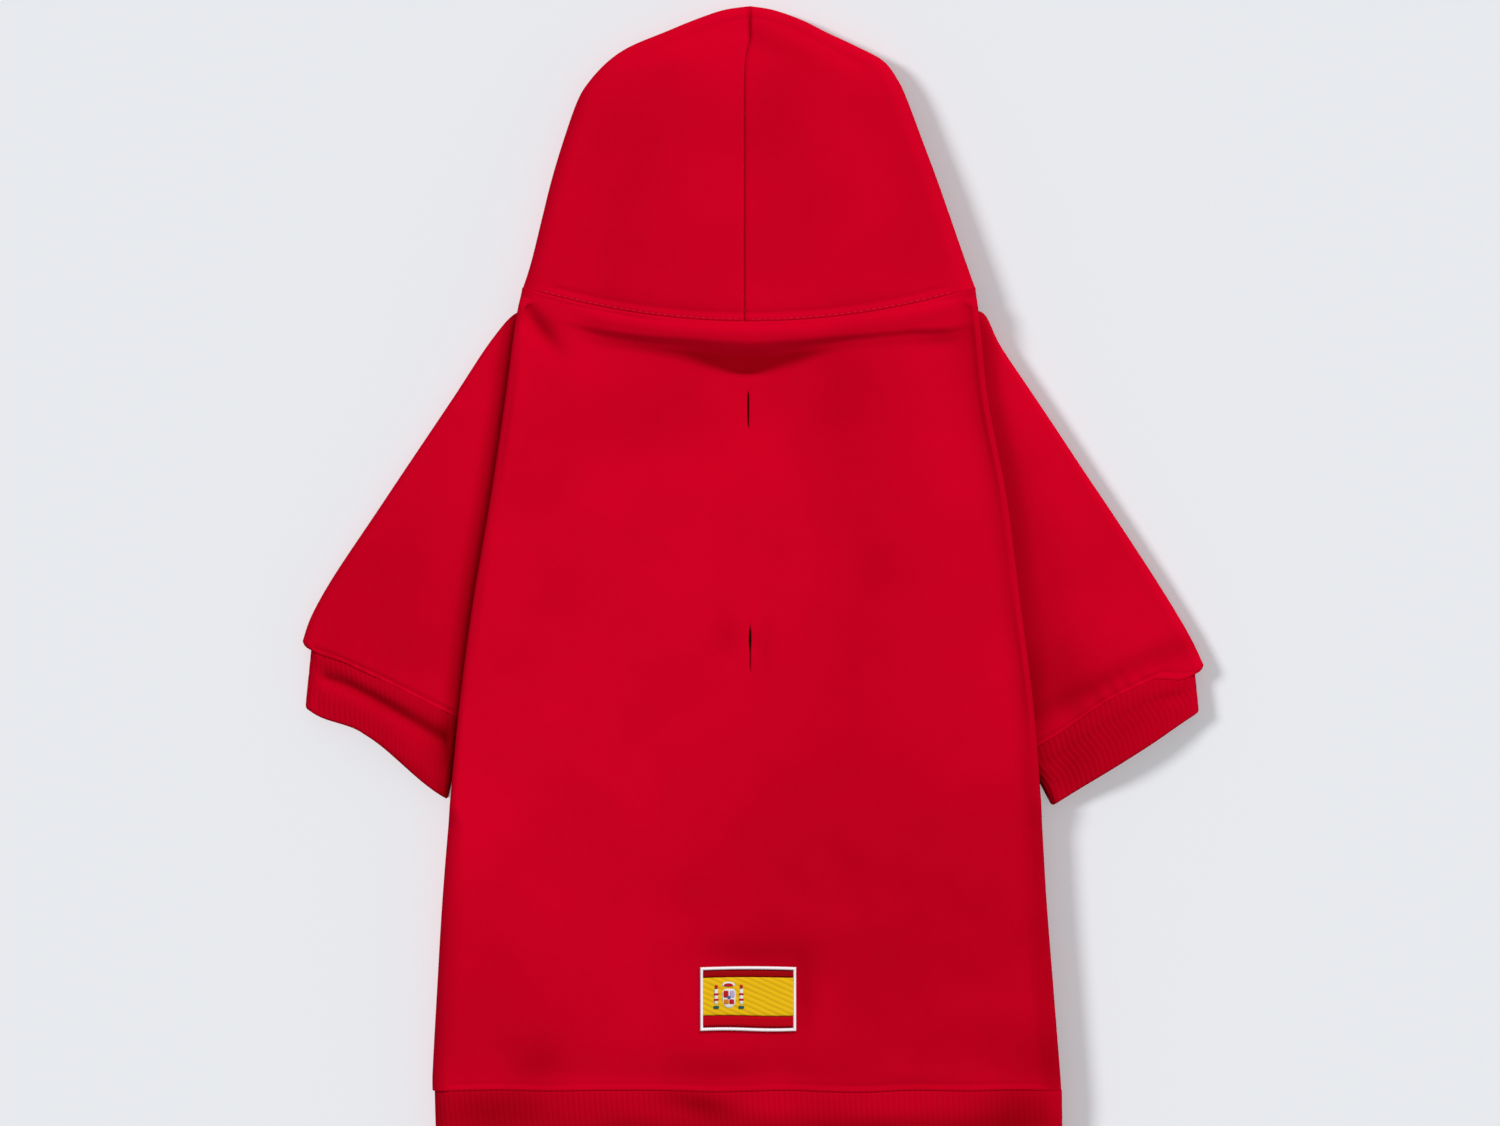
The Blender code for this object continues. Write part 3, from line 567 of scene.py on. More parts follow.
def shade_spots(piece, x, y):
    """How much painted shade the piece's soft spots put at a place."""
    total = 0
    for spot in PAINTED_SHADES[piece]:
        right, up = x / MM - spot.x, y / MM - spot.y
        turn = math.radians(spot.lean)
        along = right * math.cos(turn) + up * math.sin(turn)
        across = up * math.cos(turn) - right * math.sin(turn)
        total += spot.deep * hill(along, spot.wide) * hill(across, spot.high)
    return total


def painted_shade_at(piece, x, y):
    """How much painted shade the cloth has at a place, from 0 to 1."""
    deep = shade_spots(piece, x, y)
    sign = sign_at(x)
    if piece.startswith(("sleeve", "cuff")):
        clear = abs(x) - body_edge_at(y, sign)
        deep += FOLD_SHADE[sign] * (1 - ease(clear / FOLD_SHADE_REACH))
    # On the back: painted shade along the side fold's edge and in the valley under the neck roll.
    if piece == "back":
        from_edge = body_edge_at(y, sign) - abs(x)
        deep += EDGE_SHADE[sign] * hill(from_edge - EDGE_SHADE_PLACE, EDGE_SHADE_WIDTH)
        under_seam = (row_y(0, x, BACK_SCOOP) - y) / MM
        start, length, drop = neck_valley(x)
        from_crease = ease(abs(x - CREASE_X) / (2 * CREASE_HALF))
        softness = mix(NECK_SHADE_SHARP_END, NECK_SHADE_SOFT_END, from_crease)
        inside = ease((under_seam - start - NECK_SHADE_START) / NECK_SHADE_RISE)
        inside *= ease((start + length - under_seam) / softness)
        deep += NECK_SHADE * inside * ease(drop / NECK_SHADE_FULL_DROP)
    return min(deep, 1.0)


# Meshes

def cloth_object(name, node, points, faces, material, piece=None):
    """A named object that rides on the garment, stands in for one of its nodes, if it is given one, and
    takes the material it is given. "piece" names it in the table of painted shade spots."""
    mesh = bpy.data.meshes.new(name)
    mesh.from_pydata([tuple(point) for point in points], [], faces)
    mesh.shade_smooth()
    # Each point's painted shade is kept in an attribute, which the material uses to darken the cloth's
    # colour.
    if piece is not None:
        painted_shades = mesh.attributes.new("tone", "FLOAT", "POINT")
        painted_shades.data.foreach_set("value", [painted_shade_at(piece, point[0], point[1]) for point in points])
    mesh.materials.append(material)
    made = bpy.data.objects.new(name, mesh)
    bpy.context.scene.collection.objects.link(made)
    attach(made, "root")
    if node is not None:
        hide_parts(node)
    return made


def skin(name, node, grid, thickness, material, closed=False, flip=False, split=None, piece=None):
    """A sheet of cloth: a grid of outer-skin points, given its thickness inwards. "split" holds the
    second point of each place where the grid is cut open along a column."""
    count = len(grid[0])
    points = [point for row in grid for point in row]
    second = {}
    for place, point in (split or {}).items():
        second[place] = len(points)
        points.append(point)
    faces = []
    for r in range(len(grid) - 1):
        for c in range(count if closed else count - 1):
            after = (c + 1) % count
            near, far = [second.get((row, c), row * count + c) for row in (r, r + 1)]
            corners = (near, far, (r + 1) * count + after, r * count + after)
            faces.append(corners[::-1] if flip else corners)
    made = cloth_object(name, node, points, faces, material, piece)
    solidify = made.modifiers.new("cloth", "SOLIDIFY")
    solidify.thickness = thickness
    solidify.offset = -1


def loop_faces(base, loops, count):
    """The faces between closed loops of points that follow one another from "base"."""
    faces = []
    for loop in range(loops - 1):
        for c in range(count):
            a, b = base + loop * count + c, base + loop * count + (c + 1) % count
            faces.append((a, b, b + count, a + count))
    return faces


def fold_angles(count):
    """From straight up to straight down round the outside of a fold, without its two ends."""
    return [math.pi * (0.5 - step / count) for step in range(1, count)]


# Back and belly

FOLD_STEPS = 14
FLAP_STEPS = 5
NEAR_COLUMNS = steps((2.4 * MM, 0.8 * MM), (6 * MM, 1.2 * MM), (12 * MM, 2 * MM))
FAR_COLUMNS = 48
BACK_ROWS = steps((8 * MM, 0.6 * MM), (34 * MM, 1.25 * MM), (391 * MM, 2.3 * MM), (BODY_LENGTH, 0.7 * MM))
BELLY_ROWS = 100
BELLY_COLUMNS = 60
BELLY_INSET = 0.0005

# The middle column runs from the upper slit to the lower one between these shares of BODY_LENGTH.
MIDDLE_LEAVES = 0.2
MIDDLE_ARRIVES = 0.4


def under_side_fold(along):
    """The height of what lies under the side fold: a sleeve or a cuff, or the floor."""
    return read_straight(ZONES, "along", "room", along) * (SLEEVE_HEIGHT + SEAM_GAP)


def back_columns(along, reach, sign):
    """Places across one half of the back, from its middle to the side fold: closer near the slits."""
    way = ease((along - MIDDLE_LEAVES) / (MIDDLE_ARRIVES - MIDDLE_LEAVES))
    middle = mix(SLITS[0].across, SLITS[1].across, way) * HEM_HALF_WIDTH
    near_end = NEAR_COLUMNS[-1]
    places = []
    for away in NEAR_COLUMNS:
        pull = 1 - away / near_end
        places.append(sign * away + pull * (middle + sign * slit_gape(along)))
    places += [sign * mix(near_end, reach, step / FAR_COLUMNS) for step in range(1, FAR_COLUMNS + 1)]
    return places


def side_fold(along, sign):
    """The back panel's points round its side fold and along the flap beneath, outwards from the top."""
    armhole = read_straight(ZONES, "along", "armhole", along)
    under = under_side_fold(along)
    radius = (EDGE_HEIGHT - under) / 2
    edge = body_half_width(along, sign)
    points = []
    for angle in fold_angles(FOLD_STEPS):
        x = sign * (edge - radius + radius * math.cos(angle))
        scoop = mix(FRONT_SCOOP, BACK_SCOOP, (1 + math.sin(angle)) / 2)
        points.append((x, row_y(along, x, scoop), under + radius * (1 + math.sin(angle))))
    foot = FLAP_WIDTH - FLAP_LAP
    shelf = [mix(FLAP_SHELF, foot, step / FLAP_STEPS) for step in range(FLAP_STEPS + 1)]
    for distance in [radius] + shelf + [FLAP_WIDTH]:
        down = ease((distance - FLAP_SHELF) / (foot - FLAP_SHELF))
        x = sign * (edge - distance)
        points.append((x, row_y(along, x, FRONT_SCOOP), mix(under, under * armhole, down)))
    return points


def make_back(material):
    """The back panel, with its side folds and its two leash slits cut open."""
    seam = SEAM_GAP / 2 / BODY_LENGTH
    grid, split = [], {}
    for number, place in enumerate(BACK_ROWS):
        along = min(max(place / BODY_LENGTH, seam), 1 - seam)
        radius = (EDGE_HEIGHT - under_side_fold(along)) / 2
        halves = {}
        for sign in (-1, 1):
            reach = body_half_width(along, sign) - radius
            halves[sign] = [
                (x, row_y(along, x, BACK_SCOOP), back_height(along, x))
                for x in back_columns(along, reach, sign)
            ]
        row = side_fold(along, -1)[::-1] + halves[-1][::-1]
        if slit_gape(along) > 0:
            split[(number, len(row) - 1)] = halves[1][0]
        grid.append(row + halves[1][1:] + side_fold(along, 1))
    skin("back", "back_panel", grid, FABRIC, material, split=split, piece="back")


def make_belly(material):
    """The narrow under panel, flat on the floor between the flaps and the sleeves."""
    grid = []
    for step in range(BELLY_ROWS + 1):
        along = mix(BELLY_INSET, 1 - BELLY_INSET, step / BELLY_ROWS)
        left, right = (sign * (body_half_width(along, sign) - FLAP_WIDTH - SEAM_GAP) for sign in (-1, 1))
        xs = [mix(left, right, number / BELLY_COLUMNS) for number in range(BELLY_COLUMNS + 1)]
        grid.append([(x, row_y(along, x, FRONT_SCOOP), 0) for x in xs])
    skin("belly", "belly_panel", grid, FABRIC, material, flip=True)


# Hood

HOOD_SHARES = steps((0.03, 0.006), (0.10, 0.014), (1.0, 0.024))
HOOD_ROWS = steps((0.6, 0.05), (1.0, 0.1), (12.0, 0.11))
MARGIN_STEPS = 14
HOOD_SEED = 4.5
SOFT_ABOVE_NECK = 12 * MM
SEAM_END = 0.92
HOOD_SEAM_FADE = 0.05

# In rows of the table: how far each way the outline's direction is read, the last rows, which turn to
# point straight up at the peak, the first ones, which point sideways, and where the rim closes in.
OUTLINE_READ = 0.4
PEAK_TURN = 1.5
NECK_TURN = 0.7
RIM_CLOSES = 10
RIM_CLOSED = 12


def hood_outline(number, sign):
    row = row_between(HOOD, number)
    share = max(getattr(row, side(sign)), 0)
    return Vector((sign * share * NECK_HALF_WIDTH, NECK_EDGE_Y + row.up * HOOD_LENGTH))


def outward(number, sign):
    """The plan direction that points out of the hood at one row of its outline."""
    last = len(HOOD) - 1
    if number >= last:
        return Vector((0, 1))
    before, after = max(number - OUTLINE_READ, 0), min(number + OUTLINE_READ, last)
    run = hood_outline(after, sign) - hood_outline(before, sign)
    out = Vector((sign * run.y, -sign * run.x)).normalized()
    out = out.lerp(Vector((0, 1)), ease(number - last + PEAK_TURN))
    return out.lerp(Vector((sign, 0)), max(1 - number / NECK_TURN, 0)).normalized()


def hood_row(number, sign):
    """One row of a hood half: from the centre seam to the outline, round the fold, to the face rim."""
    row = row_between(HOOD, number)
    radius = row.radius * EDGE_HEIGHT / 2
    neck_y = NECK_EDGE_Y - BACK_SCOOP
    seam_x = row.seam * NECK_HALF_WIDTH + sign * SEAM_GAP / 2
    start = Vector((seam_x, mix(neck_y, NECK_EDGE_Y + HOOD_LENGTH, row.spine)))
    edge = hood_outline(number, sign)
    if number == len(HOOD) - 1:
        edge.x = seam_x
    out = outward(number, sign)
    fold = edge - out * radius
    fold.x = sign * max(sign * fold.x, sign * seam_x)
    fade = max(1 - row.up, 0) ** SCOOP_FADE
    join = max(1 - number, 0) ** 2
    below_peak = ease((HOOD[-2].up - row.up) / HOOD_SEAM_FADE)
    points = []
    for share in HOOD_SHARES:
        place = start.lerp(fold, share)
        place.y -= fade * BACK_SCOOP * share * (1 - share)
        plain_y = mix(neck_y, NECK_EDGE_Y, share) - BACK_SCOOP * share * (1 - share)
        place.y += join * (row_y(0, place.x, BACK_SCOOP) - plain_y)
        above = place.y - row_y(0, place.x, BACK_SCOOP)
        height = 2 * radius + CROWN * row.crown * crown_at(share)
        height += seam_relief(HOOD_SEAM, (place - start).length) * below_peak
        height += seam_relief(NECK_SEAM_HOOD, above) * (1 - ease((share - SEAM_END) / (1 - SEAM_END)))
        waves = soft_waves(place.x, place.y, HOOD_SEED) * ease(above / SOFT_ABOVE_NECK)
        points.append((*place, height + waves * (1 - share ** 4)))
    for angle in fold_angles(FOLD_STEPS):
        place = fold + out * radius * math.cos(angle)
        place.y -= fade * HOOD_UNDER_SAG * (1 - math.sin(angle)) / 2
        scoop = mix(FRONT_SCOOP, BACK_SCOOP, (1 + math.sin(angle)) / 2)
        place.y += join * (row_y(0, place.x, scoop) - NECK_EDGE_Y)
        points.append((*place, radius * (1 + math.sin(angle))))
    wide, high = (HOOD[1].rim * number, HOOD[1].face * number) if number < 1 else (row.rim, row.face)
    rim = Vector((
        sign * (wide * FACE_OPENING_HALF_WIDTH + SEAM_GAP / 2),
        NECK_EDGE_Y - FRONT_SCOOP + high * FACE_OPENING_LENGTH,
    ))
    rim.x += ease((number - RIM_CLOSES) / (RIM_CLOSED - RIM_CLOSES)) * row.seam * NECK_HALF_WIDTH
    for step in range(MARGIN_STEPS + 1):
        place = fold.lerp(rim, step / MARGIN_STEPS)
        straight_y = NECK_EDGE_Y - FRONT_SCOOP * (1 - abs(place.x / fold.x)) if fold.x else place.y
        place.y += join * (row_y(0, place.x, FRONT_SCOOP) - straight_y)
        points.append((*place, 0))
    return points


def make_hood_half(arm, material):
    """One half of the hood. It gives its grid, which the topstitching follows."""
    grid = [hood_row(number, arm.sign) for number in HOOD_ROWS]
    grid[0] = [(x, y + SEAM_GAP / 2, z) for x, y, z in grid[0]]
    node = f"hood_{arm.name}"
    skin(f"{node}_half", node, grid, FABRIC, material, flip=arm.sign > 0, piece=node)
    return grid


# Sleeves and cuffs

def heading(length, slope, sign):
    """A run in plan, outwards on the arm's own side and up at a slope in degrees."""
    angle = math.radians(slope)
    return Vector((sign * length * math.cos(angle), length * math.sin(angle)))


def arm_places(arm):
    """Shoulder, tip and the four corners of the cuff, in plan."""
    shoulder_y = NECK_EDGE_Y - SHOULDER * BODY_LENGTH - SHOULDER_DROP
    shoulder = Vector((arm.sign * body_edge_at(shoulder_y, arm.sign), shoulder_y))
    armpit_y = NECK_EDGE_Y - ARMPIT * BODY_LENGTH
    seam_in_y = armpit_y - arm.below * CUFF_WIDTH
    seam_in_x = arm.sign * (body_edge_at(seam_in_y, arm.sign) - arm.inside * FLAP_WIDTH)
    seam_in = Vector((seam_in_x, seam_in_y))
    seam_out = seam_in + heading(arm.seam * CUFF_WIDTH, arm.seam_slope, arm.sign)
    tip = seam_out + Vector((arm.sign * OVERHANG_OUT, OVERHANG_UP))
    mouth_out = seam_out + heading(arm.outer_side * CUFF_DEPTH, OUTER_SIDE_LEAN - 90, arm.sign)
    mouth_in = mouth_out - heading(arm.mouth * CUFF_WIDTH, arm.mouth_slope, arm.sign)
    return shoulder, armpit_y, tip, seam_out, seam_in, mouth_out, mouth_in


def ring(outer, inner, height, rise, count, ribs=0, inset=0.0, sway=0.0):
    """A flattened tube's cross-section, closed: outer fold, top, inner fold, floor side. "rise" lifts
    its top, "ribs" ridges run round it, and "inset" draws the whole skin in."""
    radius = height / 2
    along = (inner - outer).normalized()
    low, high = outer + along * radius, inner - along * radius
    flat = (high - low).length
    round_end = math.pi * radius
    half = flat + round_end
    points = []
    for step in range(count):
        rib = abs(math.sin(math.pi * ribs * step / count)) ** RIB_SHARPNESS
        depth = inset + (RIB_RELIEF * (1 - rib) if ribs else 0)
        under, at = divmod((step / count * 2 * half + sway - round_end) % (2 * half), half)
        turn, start, end = (-1, high, low) if under else (1, low, high)
        if at < flat:
            place = start.lerp(end, at / flat)
            z = depth if under else height - depth + rise(place, at / flat)
        else:
            angle = math.pi / 2 - (at - flat) / radius
            place = end + along * turn * (radius - depth) * math.cos(angle)
            z = radius + turn * (radius - depth) * math.sin(angle)
        points.append((*place, z))
    return points


def turned_in(share, start):
    """How far a rib has turned in at its mouth: 0 up to the share "start" of its depth, 1 at its end."""
    return 1 - math.sqrt(max(1 - max((share - start) / (1 - start), 0) ** 2, 0))


def bowed(points, outer, inner, bow, sign, start=BOW_START):
    """A ring's points moved up towards the shoulder, most between its outer end and its middle."""
    line = inner - outer
    flat = line.length - CUFF_HEIGHT
    up = sign * bow * Vector((line.y, -line.x)).normalized()
    laid = []
    for x, y, z in points:
        run = (Vector((x, y)) - outer).dot(line.normalized()) - CUFF_HEIGHT / 2
        shift = up * ease(run / flat / start) * ease((1 - run / flat) / BOW_END)
        laid.append((x + shift.x, y + shift.y, z))
    return laid


SLEEVE_POINTS = 190
SLEEVE_STEP = 0.17
SLEEVE_SEED = 7.5
SLEEVE_WAVES_CLEAR = 20 * MM
SLEEVE_BOW_START = 0.5
TURN_ROWS = 9
TURN_BULGE = 0.9 * MM
TURN_HEADING = -31

# The sleeve's gathers at the cuff's seam
GATHER_RISE = 0.35 * MM
GATHER_PITCH = 1.7 * MM
GATHER_DRIFT = 9 * MM
GATHER_START = 2 * MM
GATHER_REACH = 16 * MM

# A cuff's cross folds, and the pinch in its height: how deep along the cuff, how wide and how strong
CuffFold = namedtuple("CuffFold", "depth wide share")
CUFF_FOLDS = (CuffFold(0.37, 0.10, 1.0), CuffFold(0.66, 0.18, -0.25))
CUFF_PINCH = CuffFold(0.3, 0.15, 0.03)
CUFF_FOLD_OUT = 0.08
CUFF_FOLD_IN = 0.05
CUFF_ROWS = steps((0.08, 0.02), (0.92, 0.04), (1.0, 0.02))
CUFF_SEED = 11.5
CUFF_TURN_START = 0.94
CUFF_SWAY = 1.1 * MM
CUFF_SWAY_TURNS = 1.1
CUFF_SWAY_START = 0.3


def sleeve_top(arm, relief, seed):
    """How far a sleeve's or cuff's top stands above its edges: nothing under the body, then a crown."""
    def rise(place, share):
        clear = abs(place.x) - body_edge_at(place.y, arm.sign)
        height = SLEEVE_CROWN * ease(clear / SLEEVE_CLEAR)
        height -= FOLD_GROOVE * hill(clear - FOLD_GROOVE_PLACE, FOLD_GROOVE_WIDTH)
        height += soft_waves(place.x, place.y, seed) * ease(clear / SLEEVE_WAVES_CLEAR)
        return height * crown_at(2 * share - 1) + relief(place, share)
    return rise


def make_sleeve(arm, material):
    """A sleeve from the armhole to its tip, and its last turn down to the cuff's seam."""
    shoulder, armpit_y, tip, seam_out, seam_in, _, _ = arm_places(arm)
    seam_way = (seam_out - seam_in).normalized()
    seam_side = Vector((-seam_way.y, seam_way.x)) * arm.sign

    def seam_at(place, share):
        away = abs((place - seam_in).dot(seam_side))
        run = (place - seam_in).dot(seam_way)
        gathers = GATHER_RISE * math.sin(run / GATHER_PITCH + 2 * math.sin(run / GATHER_DRIFT))
        near = ease(away / GATHER_START) * (1 - ease(away / GATHER_REACH))
        return seam_relief(CUFF_SEAM, away) + gathers * near * crown_at(2 * share - 1)

    rise = sleeve_top(arm, seam_at, SLEEVE_SEED)
    grid = []
    numbers = [0, 1 / 3, 2 / 3] + [1 + number for number in steps((len(SLEEVE) - 2, SLEEVE_STEP))]
    for number in numbers:
        row = row_between(SLEEVE, number)
        out, drop = getattr(row, f"{arm.name}_out"), getattr(row, f"{arm.name}_drop")
        outer = Vector((mix(shoulder.x, tip.x, out), mix(shoulder.y, tip.y, drop)))
        inner_y = mix(armpit_y, seam_in.y + OVERHANG_UP, row.fall)
        tuck = mix(row.tuck, arm.inside, row.fall ** 4)
        inner = Vector((arm.sign * (body_edge_at(inner_y, arm.sign) - tuck * FLAP_WIDTH), inner_y))
        bow = arm.seam_bow * CUFF_DEPTH * ease((row.fall - SLEEVE_BOW_START) / (1 - SLEEVE_BOW_START))
        points = ring(outer, inner, SLEEVE_HEIGHT, rise, SLEEVE_POINTS)
        still = max(1 - number, 0)
        grid.append([
            (mix(x, arm.sign * (body_edge_at(y, arm.sign) - FLAP_WIDTH), still), y, z)
            for x, y, z in bowed(points, outer, inner, bow, arm.sign)
        ])
    outer_tip, inner_tip = outer, inner
    for step in range(1, TURN_ROWS + 1):
        way = step / TURN_ROWS
        bulge = heading(TURN_BULGE * math.sin(math.pi * way), TURN_HEADING, arm.sign)
        outer = outer_tip.lerp(seam_out, way) + bulge
        inner = inner_tip.lerp(seam_in, way)
        points = ring(outer, inner, mix(SLEEVE_HEIGHT, CUFF_HEIGHT, way), rise, SLEEVE_POINTS)
        grid.append(bowed(points, outer, inner, bow, arm.sign))
    node = f"sleeve_{arm.name}"
    skin(
        f"{node}_cloth", node, grid, FABRIC, material,
        closed=True, flip=arm.sign > 0, piece=node,
    )


def make_cuff(arm, material):
    """A ribbed cuff from its seam to its mouth."""
    _, _, _, seam_out, seam_in, mouth_out, mouth_in = arm_places(arm)
    gap = heading(SEAM_GAP, arm.seam_slope - 90, arm.sign)
    ribs = round((2 * CUFF_WIDTH + CUFF_HEIGHT) / RIB_PITCH)
    grid = []
    for depth in CUFF_ROWS:
        outer = (seam_out + gap).lerp(mouth_out, depth)
        inner = (seam_in + gap).lerp(mouth_in, depth)
        dip = arm.dip * sum(fold.share * hill(depth - fold.depth, fold.wide) for fold in CUFF_FOLDS)
        pinch = CUFF_PINCH.share * hill(depth - CUFF_PINCH.depth, CUFF_PINCH.wide)

        def cross(place, share, dip=dip):
            return -CUFF_HEIGHT * dip * ease(share / CUFF_FOLD_OUT) * ease((1 - share) / CUFF_FOLD_IN)

        sway = CUFF_SWAY * math.sin(2 * math.pi * CUFF_SWAY_TURNS * depth) * ease(depth / CUFF_SWAY_START)
        points = ring(
            outer, inner, CUFF_HEIGHT * (1 - pinch), sleeve_top(arm, cross, CUFF_SEED),
            ribs * POINTS_PER_RIB, ribs, MOUTH_TURN_IN * turned_in(depth, CUFF_TURN_START), sway,
        )
        bow = mix(arm.seam_bow, arm.mouth_bow, depth) * CUFF_DEPTH
        grid.append(bowed(points, outer, inner, bow, arm.sign, mix(BOW_START, MOUTH_BOW_START, depth)))
    node = f"cuff_{arm.name}"
    skin(
        f"{node}_rib", node, grid, RIB_FABRIC, material,
        closed=True, flip=arm.sign > 0, piece=node,
    )


# Hem. Its two sides go from the seam to the lower edge as shares of HEM_HALF_WIDTH.

HEM_ROWS = steps((0.10, 0.02), (0.95, 0.05), (1.0, 0.0125))
HEM_LEFT = (1.003, 0.996)
HEM_RIGHT = (0.992, 0.996)
HEM_THINNING = 0.84
HEM_TURN_START = 0.97
HEM_WAVE = 2.0 * MM
HEM_WAVE_LENGTH = 34 * MM
HEM_WAVE_DRIFT = 1.3
HEM_WAVE_SEED = 3.0
HEM_WAVE_START = 0.3


def make_hem(material):
    """The ribbed band at the bottom, in soft waves."""
    ribs = round((4 * HEM_HALF_WIDTH + EDGE_HEIGHT) / RIB_PITCH)
    grid = []
    for share in HEM_ROWS:
        y = HEM_SEAM_Y - HEM_DEPTH * share
        height = EDGE_HEIGHT * mix(1.0, HEM_THINNING, ease(share))
        left = Vector((-mix(*HEM_LEFT, share) * HEM_HALF_WIDTH, y))
        right = Vector((mix(*HEM_RIGHT, share) * HEM_HALF_WIDTH, y))

        def rise(place, across, height=height, share=share):
            spot = Vector((place.x / HEM_WAVE_LENGTH, share * HEM_WAVE_DRIFT, HEM_WAVE_SEED))
            waves = HEM_WAVE * noise.noise(spot) * ease(share / HEM_WAVE_START)
            return (CROWN * height / EDGE_HEIGHT + waves) * crown_at(2 * across - 1)

        inset = MOUTH_TURN_IN * turned_in(share, HEM_TURN_START)
        row = ring(left, right, height, rise, ribs * POINTS_PER_RIB, ribs, inset)
        start = SEAM_GAP / 2 if share == 0 else 0
        grid.append([(x, point_y + hem_sway(x) * (1 - share) - start, z) for x, point_y, z in row])
    skin("hem_rib", "hem_band", grid, RIB_FABRIC, material, closed=True, piece="hem")


# Topstitching

def even_places(path, step):
    """Points at even steps along a path."""
    places = [Vector(path[0])]
    left = step
    for start, end in zip(path, path[1:]):
        run = Vector(end) - Vector(start)
        length = run.length
        gone = 0.0
        while length - gone >= left:
            gone += left
            places.append(Vector(start) + run * (gone / length))
            left = step
        left -= length - gone
    return places


def stitches(name, paths, material):
    """Rows of short threads laid along paths on the cloth, as one piece."""
    points, faces = [], []
    up = Vector((0, 0, 1))
    for path in paths:
        places = even_places(path, STITCH_STEP)
        for start, after in zip(places, places[1:]):
            run = (after - start) * (STITCH_LENGTH / STITCH_STEP)
            across = run.cross(up).normalized()
            base = len(points)
            for number in range(STITCH_RINGS):
                share = (number + 0.5) / STITCH_RINGS
                radius = STITCH_RADIUS * math.sqrt(1 - (2 * share - 1) ** 2)
                middle = start + run * share + up * (STITCH_ARCH * math.sin(math.pi * share) - STITCH_SINK)
                for corner in range(STITCH_SIDES):
                    angle = 2 * math.pi * corner / STITCH_SIDES
                    points.append(middle + (across * math.cos(angle) + up * math.sin(angle)) * radius)
            faces += loop_faces(base, STITCH_RINGS, STITCH_SIDES)
            last = base + (STITCH_RINGS - 1) * STITCH_SIDES
            faces.append(tuple(base + corner for corner in range(STITCH_SIDES))[::-1])
            faces.append(tuple(last + corner for corner in range(STITCH_SIDES)))
    cloth_object(name, None, points, faces, material)


# Patch

PATCH_LIFT = 1.5 * MM
PATCH_CLOTH = 0.5 * MM
PATCH_BOW = 0.5 * MM
PATCH_WAVE = 0.3 * MM
BORDER_WIDTH = 1.65 * MM
BORDER_SINK = 0.9 * MM
BORDER_RISE = 1.25 * MM
BORDER_RIDGE = 0.10 * MM
BORDER_STEPS_ACROSS = 8
BORDER_STEPS_ALONG = 150
STRIPE_ROW = 0.6 * MM
STRIPE_ROWS_LEAST = 4
STRIPE_COLUMNS = 80
STRIPE_PUFF = 0.35 * MM
STRIPE_TUCK = 0.8
# The top stripe is the red stripe, coloured darker as painted shade under the raised border.
STRIPE_COLOURS = {"top": "dark_red", "middle": "yellow", "bottom": "red"}


class Patch:
    """The patch's place on the back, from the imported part, and its slight bow."""

    def __init__(self):
        low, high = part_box("patch_border")
        self.middle = (low + high) / 2
        self.half = (high - low) / 2

    def point(self, across, up, lift):
        """A point of the patch: across and up from its middle and above the back's outer skin."""
        u, v = across / self.half.x, up / self.half.y
        bow = PATCH_BOW * (1 - u * u) * (v + 1) / 2 - PATCH_WAVE * math.sin(math.pi * u) * (1 - v) / 2
        x, y = self.middle.x + across, self.middle.y + up + bow
        return Vector((x, y, back_height((NECK_EDGE_Y - y) / BODY_LENGTH, x) + lift))


def make_border(patch, material):
    """The raised satin-stitched frame, with a fine ridge for each thread."""
    loops = []
    for number in range(BORDER_STEPS_ACROSS + 1):
        share = number / BORDER_STEPS_ACROSS
        inset = share * BORDER_WIDTH
        lift = PATCH_LIFT - BORDER_SINK + BORDER_RISE * math.sqrt(max(1 - (2 * share - 1) ** 2, 0))
        ridge = BORDER_RIDGE if 0 < share < 1 else 0
        half_x, half_y = patch.half.x - inset, patch.half.y - inset
        corners = [(-half_x, -half_y), (half_x, -half_y), (half_x, half_y), (-half_x, half_y)]
        loop = []
        for (x0, y0), (x1, y1) in zip(corners, corners[1:] + corners[:1]):
            for step in range(BORDER_STEPS_ALONG):
                way = step / BORDER_STEPS_ALONG
                loop.append(patch.point(mix(x0, x1, way), mix(y0, y1, way), lift + ridge * (step % 2)))
        loops.append(loop)
    skin(
        "patch_satin_border", "patch_border", loops, PATCH_CLOTH, material,
        closed=True, flip=True,
    )


def make_stripe(patch, name, material):
    """One embroidered stripe, between the lowest and highest places of its node."""
    low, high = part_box(f"patch_stripe_{name}")
    bottom, top = low.y - patch.middle.y, high.y - patch.middle.y
    half = patch.half.x - BORDER_WIDTH * STRIPE_TUCK
    rows = max(round((top - bottom) / STRIPE_ROW), STRIPE_ROWS_LEAST)
    xs = [mix(-half, half, c / STRIPE_COLUMNS) for c in range(STRIPE_COLUMNS + 1)]
    grid = []
    for r in range(rows + 1):
        way = r / rows
        lift = PATCH_LIFT - PATCH_CLOTH + STRIPE_PUFF * (1 - (2 * way - 1) ** 8)
        grid.append([patch.point(x, mix(top, bottom, way), lift) for x in xs])
    skin(f"patch_{name}_threads", f"patch_stripe_{name}", grid, PATCH_CLOTH, material)


